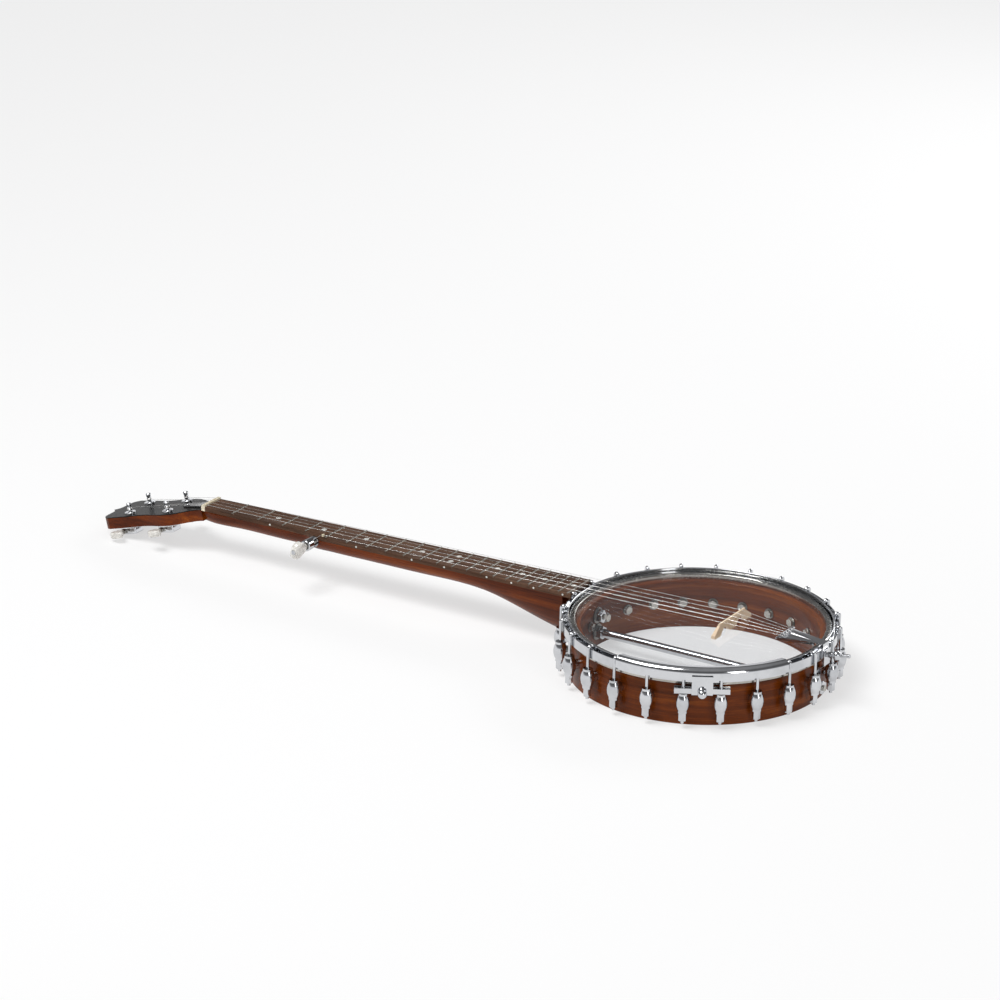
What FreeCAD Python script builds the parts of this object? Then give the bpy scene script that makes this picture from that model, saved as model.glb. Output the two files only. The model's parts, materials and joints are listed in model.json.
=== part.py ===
import FreeCAD, Part
import math
import os

# A five-string open-back banjo. Millimetres, +Z up out of the drum head, the neck towards -X, and the
# fifth string on the -Y side. The model is built about the centre of the head's top face, and the export
# moves it so that the origin is the centre of the underside of its box, on the surface it lies on.

# ---- Scale, strings and frets ----
SCALE_LENGTH = 666.75          # nut to bridge
FRET_COUNT = 22
FIFTH_NUT_FRET = 5             # the fifth string starts at this fret
STRING_DIAMETERS = [0.32, 0.36, 0.45, 0.60, 0.32]   # first to fifth string
BRIDGE_SPACING = 10.5          # string to string at the bridge
NUT_SPACING = 8.2              # string to string at the nut
TAIL_SPACING = 5.6             # string to string at the tailpiece
NUT_ACTION = 1.3               # string's underside above the fingerboard at the nut
SLOT_GAP = 0.02                # string to the bottom of its slot
LOOP_GAP = 0.12                # pin to the loop at a string's end
LOOP_HEIGHT = 0.45             # loop's height on its pin, as a share of the pin
LOOP_OPEN = 40.0               # degrees left open each side, where the loop closes
LOOP_NECK = 2.4                # where the loop closes, over the loop's radius
LOOP_STEPS = 12

# ---- Pot ----
RIM_RADIUS = 139.7
RIM_WALL = 13.0
RIM_HEIGHT = 54.35
RIM_ROUND = 1.6
TONE_RING_WIDTH = 7.0
TONE_RING_HEIGHT = 6.35
HEAD_THICKNESS = 0.3
HEAD_CORNER = 2.0              # radius of the head's bend over the tone ring
HEAD_SKIRT = 13.2              # depth of the head's skirt
SKIRT_GAP = 0.1                # rim to skirt
FLESH_HOOP_WIDTH = 2.9
FLESH_HOOP_HEIGHT = 4.2
HOOP_TOP = 3.0                 # top of the tension hoop above the head
HOOP_HEIGHT = 12.5
HOOP_GAP = 0.5                 # skirt to tension hoop
HOOP_INNER_LIP = 1.5
HOOP_OUTER_LIP = 1.2
HOOP_LIP_DROP = 2.4            # outer lip below the inner lip
HOOP_GROOVE_DEPTH = 5.2        # groove's floor below the inner lip

# ---- Brackets ----
BRACKET_COUNT = 24
HOOK_RADIUS = 1.8
HOOK_GAP = 0.15                # hook to hoop, and hook to shoe
HOOK_REACH = 3.5               # hook past its nut
SHOE_TOP = -21.0
SHOE_HEIGHT = 22.0
SHOE_RADIUS = 7.5
SHOE_NECK_RADIUS = 5.2
SHOE_BOSS_RADIUS = 5.6
BRACKET_NUT_FLATS = 7.6
BRACKET_NUT_LENGTH = 9.0
SHOE_BOLT_RADIUS = 2.4
SHOE_BOLT_DEPTH = 5.0          # bolt inside the shoe
SHOE_BOLT_FLATS = 8.0
SHOE_BOLT_HEAD = 3.2
WASHER_RADIUS = 5.6
WASHER_THICKNESS = 1.0
BOLT_GAP = 0.1                 # bolt to its hole
SEAT_GAP = 0.05                # between faces that touch on curved walls

# ---- Coordinator rod and heel bolts ----
ROD_RADIUS = 4.75
ROD_Z = -43.0
HEEL_BOLT_RADIUS = 3.0
HEEL_BOLT_UPPER_Z = -24.0
HEEL_BOLT_DEPTH = 24.0         # bolt inside the heel
ROD_THREAD = 15.0              # bolt inside the rod
ROD_NUT_FLATS = 13.0
ROD_NUT_HEIGHT = 7.0
ROD_WASHER_RADIUS = 9.0
ROD_WASHER_THICKNESS = 1.4

# ---- Tailpiece ----
TAIL_FRONT_FROM_BRIDGE = 62.0
TAIL_PLATE_TOP = 8.6
TAIL_PLATE_THICKNESS = 1.2
TAIL_FRONT_WIDTH = 31.0
TAIL_REAR_WIDTH = 13.0
TAIL_FLANGE = 3.0              # depth of its folded edges
TAIL_TAB_BOTTOM = -11.0
TAIL_PIN_RADIUS = 1.1
TAIL_PIN_HEIGHT = 3.2
TAIL_PIN_SETBACK = 5.5
TAIL_BAR_RADIUS = 1.1
HANGER_WIDTH = 13.0
HANGER_THICKNESS = 2.0
HANGER_TOP = 2.0
TAIL_BOLT_RADIUS = 2.1
TAIL_BOLT_Z = -5.0
TAIL_BOLT_TILT = 9.0           # degrees, rising outwards
TAIL_BOLT_LENGTH = 30.0
TAIL_BOLT_HEAD = 0.9
THUMB_NUT_RADIUS = 5.0
THUMB_NUT_NECK = 3.2
THUMB_NUT_NECK_LENGTH = 6.0
END_BOLT_REACH = 11.0          # end bolt outside the rim

# ---- Armrest ----
ARMREST_ANGLE = -60.0          # from the tail
ARMREST_SPAN = 72.0
ARMREST_SHEET = 1.5
ARMREST_TOP = 7.4
ARMREST_INNER_DROP = 0.8
ARMREST_OVERLAP = 0.1          # armrest's inner edge inside the hoop's
ARMREST_SKIRT = -5.0
ARMREST_POST_WIDTH = 22.0
ARMREST_POST_THICKNESS = 2.0
ARMREST_CROSS_LENGTH = 58.0
ARMREST_CROSS_HEIGHT = 5.6
ARMREST_CROSS_Z = -17.6
ARMREST_CLAMP_THICKNESS = 3.0
ARMREST_SCREW_RADIUS = 2.0
ARMREST_KNOB_RADIUS = 5.0
ARMREST_GAP = 0.5              # hooks to the armrest's skirt

# ---- Bridge ----
BRIDGE_X = 37.0
BRIDGE_HEIGHT = 12.7
BRIDGE_LENGTH = 79.0
BRIDGE_TOP_LENGTH = 56.0
BRIDGE_FOOT_THICKNESS = 5.6
BRIDGE_TOP_THICKNESS = 2.2
BRIDGE_STRIP = 1.5             # hard strip along its top
BRIDGE_FOOT_LENGTH = 12.0
BRIDGE_ARCH_HEIGHT = 6.4
BRIDGE_SHOULDER = 3.2          # height of the foot's outer end
BRIDGE_WINDOW_RADIUS = 1.7
BRIDGE_NOTCH = 0.4

# ---- Neck ----
NECK_PITCH = 0.95              # degrees, falling towards the headstock
NUT_BOARD_Z = -3.9             # fingerboard's top at the nut
NUT_THICKNESS = 5.0
NUT_WIDTH = 32.0
NUT_HEIGHT = 2.1               # above the fingerboard
BOARD_THICKNESS = 5.0
BOARD_END_TREBLE = 23.2        # half widths at the pot
BOARD_END_BASS = 25.2
BUMP_BASS = 23.4               # bass edge beside the fifth peg
BUMP_AHEAD = 17.2              # widening's start before the peg's centre
BUMP_REACH = 16.0              # length of the widening
NECK_DEPTH_NUT = 16.0          # wood under the fingerboard
NECK_DEPTH_BODY = 18.5
HEEL_REACH = 145.0             # length of the heel's curve
HEEL_DEPTH = 52.0
HEEL_TONGUE = 22.0             # width of the heel between its two shoes
POCKET_GAP = 1.2               # shoes to the heel's pockets
BOARD_GAP = 0.6                # tension hoop to the fingerboard's end
FRET_WIDTH = 2.1
FRET_HEIGHT = 1.0
FRET_TANG = 0.55
FRET_TANG_DEPTH = 1.8
FRET_INSET = 0.4
DOT_RADIUS = 3.0
DOT_DEPTH = 1.2
DOT_FRETS = [3, 5, 7, 10, 12, 15, 17, 19, 22]
SIDE_DOT_RADIUS = 1.1
SIDE_DOT_DEPTH = 1.6
INLAY_GAP = 0.02
TRUSS_RADIUS = 2.5
TRUSS_DROP = 10.6              # rod's axis below the fingerboard's top
TRUSS_SHORT = 50.0             # truss rod's end short of the board's
TRUSS_NUT_FLATS = 6.4
TRUSS_NUT_LENGTH = 7.2
TRUSS_OVERHANG = 16.5          # rod beyond the nut's board side

# ---- Headstock ----
HEADSTOCK_PITCH = 13.5         # degrees back from the fingerboard
HEADSTOCK_DROP = 3.5           # its face below the fingerboard, behind the nut
HEADSTOCK_LENGTH = 137.0
HEADSTOCK_WOOD = 12.5
VENEER = 1.0
HEADSTOCK_SIDE = [(0, 16.6), (14, 18.0), (30, 27.0), (46, 30.4), (72, 27.2), (100, 30.4), (122, 33.2)]
HEADSTOCK_CREST = [(131, 22.0), (131, 10.0)]        # between its shoulder and its tip
COVER_START = 3.0
COVER_LENGTH = 32.0
COVER_WIDTH = 19.0
COVER_THICKNESS = 1.8
POCKET_LENGTH = 22.0
POCKET_WIDTH = 8.0
POCKET_DEPTH = 10.2
SMALL_SCREW_RADIUS = 1.3
SMALL_SCREW_HEAD = 2.3
SMALL_SCREW_LENGTH = 6.0

# ---- Tuners ----
TUNER_ROWS = [45.0, 99.0]      # from the nut, along the headstock
TUNER_OFFSET = 19.0            # from the middle
POST_RADIUS = 3.0
POST_WAIST = 2.5
POST_ABOVE = 12.5              # above the headstock's face
POST_HOLE_RADIUS = 0.8
WINDING_HEIGHT = 6.0           # windings' middle above the face
WINDING_TURNS = 4
BUSHING_RADIUS = 4.9
BUSHING_FLANGE_RADIUS = 6.6
BUSHING_FLANGE_HEIGHT = 2.4
RUNNING_GAP = 0.06             # shafts in their holes
GEAR_RADIUS = 6.0
GEAR_THICKNESS = 4.0
GEAR_TEETH = 14
WORM_RADIUS = 2.6
WORM_CORE = 2.0
WORM_LENGTH = 9.0
GEAR_GAP = 0.15
HOUSING_WALL = 1.2
HOUSING_GAP = 0.6              # gear and worm to the housing's inside
HOUSING_DEPTH = 8.2
PLATE_THICKNESS = 1.0
PLATE_EAR = 5.0                # plate beyond the housing at each end
SHAFT_RADIUS = 1.8
SHAFT_REACH = 6.0              # shaft between housing and button
COLLAR_RADIUS = 3.0
COLLAR_LENGTH = 2.6
BUTTON_LENGTH = 17.0
BUTTON_REACH = 13.0
BUTTON_THICKNESS = 7.4
BUTTON_SOCKET = 8.0            # shaft inside the button

# ---- Fifth-string peg ----
PEG_FROM_FRET = 14.0           # nut-ward of the fifth fret
PEG_DROP = 7.0                 # axis below the fingerboard's top
PEG_SHANK_RADIUS = 3.2
PEG_SHANK_LENGTH = 13.0
PEG_FLANGE_RADIUS = 6.2
PEG_FLANGE_THICKNESS = 1.6
PEG_WINDOW = 8.0               # open length round the spool
PEG_ARM_WIDTH = 5.0
PEG_ARM_WALL = 1.8
PEG_CASE_LENGTH = 9.4
PEG_CASE_RADIUS = 6.4
PEG_CASE_WALL = 1.4
PEG_SPOOL_RADIUS = 2.8
PEG_SUN_RADIUS = 1.45
PEG_PLANET_RADIUS = 1.45
PEG_PLANET_COUNT = 3
PEG_PLANET_LENGTH = 4.0
PEG_CARRIER_THICKNESS = 1.6
PEG_MESH_GAP = 0.05
PEG_SHAFT_REACH = 2.0
PEG_BUTTON_RADIUS = 10.4
PEG_BUTTON_LENGTH = 21.0
PEG_BUTTON_THICKNESS = 10.5
PEG_BUTTON_TURN = 73.0         # degrees about its shaft, at rest
PEG_SOCKET = 7.5               # shaft inside the button
PEG_SCREW_HEAD_RADIUS = 2.6
PEG_SCREW_HEAD = 1.6
FIFTH_NUT_RADIUS = 1.6
FIFTH_NUT_RISE = 0.3           # it holds its string this much higher than the nut does

# ---- Sizes that follow from these ----
ORIGIN = FreeCAD.Vector(0, 0, 0)
X_AXIS = FreeCAD.Vector(1, 0, 0)
Y_AXIS = FreeCAD.Vector(0, 1, 0)
Z_AXIS = FreeCAD.Vector(0, 0, 1)

RIM_INNER = RIM_RADIUS - RIM_WALL
RIM_TOP = -HEAD_THICKNESS - TONE_RING_HEIGHT
RIM_BOTTOM = RIM_TOP - RIM_HEIGHT
SKIRT_INNER = RIM_RADIUS + SKIRT_GAP
SKIRT_OUTER = SKIRT_INNER + HEAD_THICKNESS
HOOP_INNER = SKIRT_OUTER + HOOP_GAP
HOOP_GROOVE_INNER = HOOP_INNER + HOOP_INNER_LIP
HOOP_GROOVE_OUTER = HOOP_GROOVE_INNER + 2 * HOOK_RADIUS + 2 * HOOK_GAP
HOOP_OUTER = HOOP_GROOVE_OUTER + HOOP_OUTER_LIP
HOOP_BOTTOM = HOOP_TOP - HOOP_HEIGHT
HOOP_LIP_TOP = HOOP_TOP - HOOP_LIP_DROP
HOOK_CIRCLE = HOOP_OUTER + HOOK_GAP + HOOK_RADIUS
HOOK_TIP_CIRCLE = (HOOP_GROOVE_INNER + HOOP_GROOVE_OUTER) / 2
HOOK_BEND = (HOOK_CIRCLE - HOOK_TIP_CIRCLE) / 2
FLESH_BOTTOM = HOOP_BOTTOM - FLESH_HOOP_HEIGHT
SHOE_BOTTOM = SHOE_TOP - SHOE_HEIGHT
SHOE_MIDDLE = (SHOE_TOP + SHOE_BOTTOM) / 2
HOOK_END = SHOE_BOTTOM - SEAT_GAP - BRACKET_NUT_LENGTH - HOOK_REACH
ARMREST_INNER_RADIUS = HOOP_INNER - ARMREST_OVERLAP
SHOE_OUTER = HOOK_CIRCLE + SHOE_RADIUS
BRACKET_STEP = 360.0 / BRACKET_COUNT
BRACKET_ANGLES = [BRACKET_STEP * (k + 0.5) for k in range(BRACKET_COUNT)]

NUT_X = BRIDGE_X - SCALE_LENGTH
BOARD_LENGTH = -NUT_X - RIM_RADIUS       # past the hoop; the pot's cuts trim it
NECK = FreeCAD.Placement(FreeCAD.Vector(NUT_X, 0, NUT_BOARD_Z), FreeCAD.Rotation(Y_AXIS, -NECK_PITCH))
HEADSTOCK = NECK.multiply(
    FreeCAD.Placement(
        FreeCAD.Vector(-NUT_THICKNESS, 0, -HEADSTOCK_DROP), FreeCAD.Rotation(Y_AXIS, -HEADSTOCK_PITCH)
    )
)
HEADSTOCK_BACK = -VENEER - HEADSTOCK_WOOD

STRING_RADII = [d / 2 for d in STRING_DIAMETERS]
BRIDGE_YS = [BRIDGE_SPACING * (2 - k) for k in range(5)]
NUT_YS = [NUT_SPACING * (1.5 - k) for k in range(4)]
TAIL_YS = [TAIL_SPACING * (2 - k) for k in range(5)]
TAIL_FRONT = BRIDGE_X + TAIL_FRONT_FROM_BRIDGE
TAIL_TAB = HOOP_OUTER + TAIL_BOLT_HEAD + 2 * HOOK_GAP
HANGER_X = TAIL_TAB + TAIL_PLATE_THICKNESS + HOOK_GAP
WORM_OFFSET = GEAR_RADIUS + WORM_RADIUS + GEAR_GAP
SHAFT_H = HEADSTOCK_BACK - PLATE_THICKNESS - HOUSING_DEPTH / 2


def fret_distance(fret):
    """Distance from the nut to a fret."""
    return SCALE_LENGTH * (1 - 2 ** (-fret / 12))


PEG_U = fret_distance(FIFTH_NUT_FRET) - PEG_FROM_FRET
BUMP_START = PEG_U - BUMP_AHEAD
BUMP_END = BUMP_START + BUMP_REACH
TRUSS_LENGTH = BOARD_LENGTH - TRUSS_SHORT
HEEL_START = BOARD_LENGTH - HEEL_REACH


# ---- Small helpers ----
def vec(x, y, z):
    return FreeCAD.Vector(x, y, z)


def rod(radius, start, end):
    """A solid cylinder from one point to another."""
    return Part.makeCylinder(radius, (end - start).Length, start, end - start)


def block(x, y, z):
    """A box from its three (low, high) pairs."""
    return Part.makeBox(x[1] - x[0], y[1] - y[0], z[1] - z[0], vec(x[0], y[0], z[0]))


def tube(inner, outer, start, end):
    """A round tube from one point to another."""
    along = (end - start).normalize()
    return rod(outer, start, end).cut(rod(inner, start - along, end + along))


def outline_face(points, place):
    """A flat face with straight edges; place turns each pair of numbers into a point."""
    corners = [place(*p) for p in points]
    return Part.Face(Part.makePolygon(corners + corners[:1]))


def turned(points, axis=Z_AXIS):
    """A solid of revolution about Z, from (radius, height) points joined by straight lines."""
    return outline_face(points, lambda r, z: vec(r, 0, z)).revolve(ORIGIN, axis, 360)


def hexagon(flats, height):
    """A hexagonal prism standing on the origin."""
    corner = flats / math.sqrt(3)
    angles = [math.radians(60 * k) for k in range(6)]
    points = [(corner * math.cos(angle), corner * math.sin(angle)) for angle in angles]
    return outline_face(points, lambda x, y: vec(x, y, 0)).extrude(vec(0, 0, height))


def hex_nut(flats, height, bore):
    """A hexagonal nut standing on the origin, its corners turned off."""
    corner = flats / math.sqrt(3)
    chamfer = (corner - flats / 2) * 0.6
    limits = turned([(0, 0), (corner - chamfer, 0), (corner, chamfer), (corner, height - chamfer),
                     (corner - chamfer, height), (0, height)])
    return hexagon(flats, height).common(limits).cut(rod(bore, vec(0, 0, -1), vec(0, 0, height + 1)))


def turn(shape, angle, axis=Z_AXIS, centre=ORIGIN):
    """A copy turned about an axis."""
    copy = shape.copy()
    copy.rotate(centre, axis, angle)
    return copy


def move(shape, offset):
    """A copy moved by an offset."""
    copy = shape.copy()
    copy.translate(offset)
    return copy


def put(shape, placement):
    """A copy in another frame."""
    copy = shape.copy()
    copy.Placement = placement.multiply(copy.Placement)
    return copy


def lay_along_x(shape, x, z, outwards=1):
    """Lays a shape that stands on the origin along +X or -X, at the given x and z."""
    return move(turn(shape, 90 * outwards, Y_AXIS), vec(x, 0, z))


def ring_of(shape):
    """The shape, made at angle zero, at every bracket."""
    return [turn(shape, angle) for angle in BRACKET_ANGLES]


def smooth(t):
    """Runs from 0 to 1 with level ends."""
    t = min(max(t, 0.0), 1.0)
    return t * t * (3 - 2 * t)


def joined(shapes):
    """Several overlapping solids as one."""
    return shapes[0].fuse(shapes[1:]).removeSplitter()


# ---- Pot ----
def make_rim():
    section = turned([(RIM_INNER, RIM_BOTTOM), (RIM_RADIUS, RIM_BOTTOM),
                      (RIM_RADIUS, RIM_TOP), (RIM_INNER, RIM_TOP)])
    lower = [e for e in section.Edges if abs(e.BoundBox.ZMax - RIM_BOTTOM) < 0.01 and e.Length > RIM_RADIUS]
    section = section.makeFillet(RIM_ROUND, lower)
    outside = vec(RIM_RADIUS + 2, 0, SHOE_MIDDLE)
    bolt = rod(SHOE_BOLT_RADIUS + BOLT_GAP, vec(RIM_INNER - 2, 0, SHOE_MIDDLE), outside)
    holes = ring_of(bolt)
    heel = HEEL_BOLT_RADIUS + BOLT_GAP
    for z in (ROD_Z, HEEL_BOLT_UPPER_Z):
        holes.append(rod(heel, vec(-RIM_RADIUS - 2, 0, z), vec(-RIM_INNER + 2, 0, z)))
    holes.append(rod(heel, vec(RIM_INNER - 2, 0, ROD_Z), vec(RIM_RADIUS + 2, 0, ROD_Z)))
    return section.cut(holes)


def make_tone_ring():
    inner = RIM_RADIUS - TONE_RING_WIDTH
    ring = turned([(inner, RIM_TOP), (RIM_RADIUS, RIM_TOP),
                   (RIM_RADIUS, -HEAD_THICKNESS), (inner, -HEAD_THICKNESS)])
    top = [e for e in ring.Edges if abs(e.BoundBox.ZMin + HEAD_THICKNESS) < 0.01 and e.Length > inner]
    return ring.makeFillet(HEAD_CORNER, top)


def make_head():
    t = HEAD_THICKNESS
    bend = HEAD_CORNER
    cup = turned([(0, -HEAD_SKIRT), (SKIRT_OUTER, -HEAD_SKIRT), (SKIRT_OUTER, 0), (0, 0)])
    inside = turned([(0, -HEAD_SKIRT - 1), (SKIRT_INNER, -HEAD_SKIRT - 1), (SKIRT_INNER, -t), (0, -t)])
    rim = [e for e in cup.Edges if abs(e.BoundBox.ZMin) < 0.01 and e.Length > RIM_RADIUS]
    inner_rim = [e for e in inside.Edges if abs(e.BoundBox.ZMin + t) < 0.01 and e.Length > RIM_RADIUS]
    return cup.makeFillet(bend, rim).cut(inside.makeFillet(bend - t, inner_rim))


def make_flesh_hoop():
    outer = SKIRT_OUTER + FLESH_HOOP_WIDTH
    return turned([(SKIRT_OUTER, FLESH_BOTTOM), (outer, FLESH_BOTTOM),
                   (outer, HOOP_BOTTOM), (SKIRT_OUTER, HOOP_BOTTOM)])


def make_tension_hoop():
    floor = HOOP_TOP - HOOP_GROOVE_DEPTH
    hoop = turned([(HOOP_INNER, HOOP_BOTTOM), (HOOP_OUTER, HOOP_BOTTOM), (HOOP_OUTER, HOOP_LIP_TOP),
                   (HOOP_GROOVE_OUTER, HOOP_LIP_TOP), (HOOP_GROOVE_OUTER, floor), (HOOP_GROOVE_INNER, floor),
                   (HOOP_GROOVE_INNER, HOOP_TOP), (HOOP_INNER, HOOP_TOP)])
    rounds = [e for e in hoop.Edges if e.Length > RIM_RADIUS and abs(e.BoundBox.ZMin - HOOP_TOP) < 0.01]
    return hoop.makeFillet(HOOP_INNER_LIP * 0.45, rounds)


def make_hook():
    """A round hook at angle zero: a straight shank, bent over the hoop's outer lip into its groove."""
    lip_half = HOOP_OUTER_LIP / 2
    inside = HOOK_BEND - HOOK_RADIUS
    bend_z = HOOP_LIP_TOP - math.sqrt(inside ** 2 - lip_half ** 2) + SEAT_GAP / 2
    centre = vec((HOOK_CIRCLE + HOOK_TIP_CIRCLE) / 2, 0, bend_z)
    section = Part.Face(Part.Wire(Part.makeCircle(HOOK_RADIUS, vec(HOOK_CIRCLE, 0, bend_z), Z_AXIS)))
    arch = section.revolve(centre, vec(0, -1, 0), 180)
    shank = rod(HOOK_RADIUS, vec(HOOK_CIRCLE, 0, HOOK_END), vec(HOOK_CIRCLE, 0, bend_z))
    tip_end = HOOP_TOP - HOOP_GROOVE_DEPTH + 2 * HOOK_GAP
    tip = rod(HOOK_RADIUS, vec(HOOK_TIP_CIRCLE, 0, tip_end), vec(HOOK_TIP_CIRCLE, 0, bend_z))
    return joined([shank, arch, tip])


def make_shoe():
    """A ball-shaped bracket shoe at angle zero."""
    half = SHOE_HEIGHT / 2
    collar = 2.4
    arc = Part.Arc(vec(SHOE_NECK_RADIUS, 0, half - collar), vec(SHOE_RADIUS, 0, 0),
                   vec(SHOE_NECK_RADIUS, 0, collar - half)).toShape()
    ends = [vec(SHOE_NECK_RADIUS, 0, collar - half), vec(SHOE_NECK_RADIUS, 0, -half), vec(0, 0, -half),
            vec(0, 0, half), vec(SHOE_NECK_RADIUS, 0, half), vec(SHOE_NECK_RADIUS, 0, half - collar)]
    face = Part.Face(Part.Wire(Part.sortEdges([arc] + Part.makePolygon(ends).Edges)[0]))
    barrel = move(face.revolve(ORIGIN, Z_AXIS, 360), vec(HOOK_CIRCLE, 0, SHOE_MIDDLE))
    boss = rod(SHOE_BOSS_RADIUS, vec(RIM_RADIUS - 3, 0, SHOE_MIDDLE), vec(HOOK_CIRCLE, 0, SHOE_MIDDLE))
    seat = rod(RIM_RADIUS + SEAT_GAP, vec(0, 0, SHOE_BOTTOM - 5), vec(0, 0, SHOE_TOP + 5))
    above = vec(HOOK_CIRCLE, 0, SHOE_TOP + 1)
    hook_hole = rod(HOOK_RADIUS + HOOK_GAP, vec(HOOK_CIRCLE, 0, SHOE_BOTTOM - 1), above)
    bolt_hole = rod(SHOE_BOLT_RADIUS + SEAT_GAP, vec(RIM_RADIUS - 5, 0, SHOE_MIDDLE),
                    vec(RIM_RADIUS + SHOE_BOLT_DEPTH + 0.3, 0, SHOE_MIDDLE))
    return joined([barrel, boss]).cut([seat, hook_hole, bolt_hole])


def make_bracket_nut():
    nut = hex_nut(BRACKET_NUT_FLATS, BRACKET_NUT_LENGTH, HOOK_RADIUS + SEAT_GAP)
    return move(nut, vec(HOOK_CIRCLE, 0, SHOE_BOTTOM - BRACKET_NUT_LENGTH - SEAT_GAP))


def inner_seat(radius):
    """Distance from the pot's axis at which a flat washer of this radius touches the rim's inner wall."""
    return math.sqrt(RIM_INNER ** 2 - radius ** 2) - SEAT_GAP


def make_shoe_bolt():
    head_x = inner_seat(WASHER_RADIUS) - WASHER_THICKNESS - SEAT_GAP
    head = lay_along_x(hexagon(SHOE_BOLT_FLATS, SHOE_BOLT_HEAD), head_x - SHOE_BOLT_HEAD, SHOE_MIDDLE)
    end = vec(RIM_RADIUS + SHOE_BOLT_DEPTH, 0, SHOE_MIDDLE)
    shank = rod(SHOE_BOLT_RADIUS, vec(head_x - 1, 0, SHOE_MIDDLE), end)
    return joined([head, shank])


def make_washers():
    x = inner_seat(WASHER_RADIUS)
    small = tube(SHOE_BOLT_RADIUS + BOLT_GAP, WASHER_RADIUS, vec(x - WASHER_THICKNESS, 0, SHOE_MIDDLE),
                 vec(x, 0, SHOE_MIDDLE))
    x = inner_seat(ROD_WASHER_RADIUS)
    bore = HEEL_BOLT_RADIUS + BOLT_GAP
    washers = ring_of(small)
    for side, z in ((-1, ROD_Z), (-1, HEEL_BOLT_UPPER_Z), (1, ROD_Z)):
        radius = min(ROD_WASHER_RADIUS, abs(ROD_Z - HEEL_BOLT_UPPER_Z) / 2 - SEAT_GAP)
        washers.append(tube(bore, radius, vec(side * (x - ROD_WASHER_THICKNESS), 0, z), vec(side * x, 0, z)))
    return washers


# ---- Coordinator rod and heel bolts ----
ROD_NUT_SEAT = inner_seat(ROD_WASHER_RADIUS) - ROD_WASHER_THICKNESS - SEAT_GAP
ROD_END = ROD_NUT_SEAT - ROD_NUT_HEIGHT - SEAT_GAP


def make_coordinator_rod():
    body = rod(ROD_RADIUS, vec(-ROD_END, 0, ROD_Z), vec(ROD_END, 0, ROD_Z))
    bore = HEEL_BOLT_RADIUS + SEAT_GAP
    inside = ROD_END - ROD_THREAD - 0.5
    holes = [rod(bore, vec(side * inside, 0, ROD_Z), vec(side * (ROD_END + 1), 0, ROD_Z)) for side in (-1, 1)]
    return body.cut(holes)


def make_hanger_bolts():
    """Two bolts from the heel into the pot, and the end bolt from the rod out through the tail."""
    outer = -RIM_RADIUS - HEEL_BOLT_DEPTH
    lower = rod(HEEL_BOLT_RADIUS, vec(outer, 0, ROD_Z), vec(-ROD_END + ROD_THREAD, 0, ROD_Z))
    upper = rod(HEEL_BOLT_RADIUS, vec(outer, 0, HEEL_BOLT_UPPER_Z), vec(-ROD_END + 2, 0, HEEL_BOLT_UPPER_Z))
    outside = vec(RIM_RADIUS + END_BOLT_REACH, 0, ROD_Z)
    tail = rod(HEEL_BOLT_RADIUS, vec(ROD_END - ROD_THREAD, 0, ROD_Z), outside)
    return [lower, upper, tail]


def make_rod_nuts():
    nut = hex_nut(ROD_NUT_FLATS, ROD_NUT_HEIGHT, HEEL_BOLT_RADIUS + SEAT_GAP)
    outside = RIM_RADIUS + SEAT_GAP + HANGER_THICKNESS + SEAT_GAP
    return [
        lay_along_x(nut, -ROD_NUT_SEAT, ROD_Z),
        lay_along_x(nut, -ROD_NUT_SEAT, HEEL_BOLT_UPPER_Z),
        lay_along_x(nut, ROD_NUT_SEAT, ROD_Z, -1),
        lay_along_x(nut, outside, ROD_Z),
    ]


# ---- Tailpiece ----
def tail_bolt_frame(shape):
    """Moves a shape made along +X from the tab's inner face to the tilted bolt's place."""
    hole = vec(TAIL_TAB, 0, TAIL_BOLT_Z)
    return turn(move(shape, hole), -TAIL_BOLT_TILT, Y_AXIS, hole)


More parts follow.
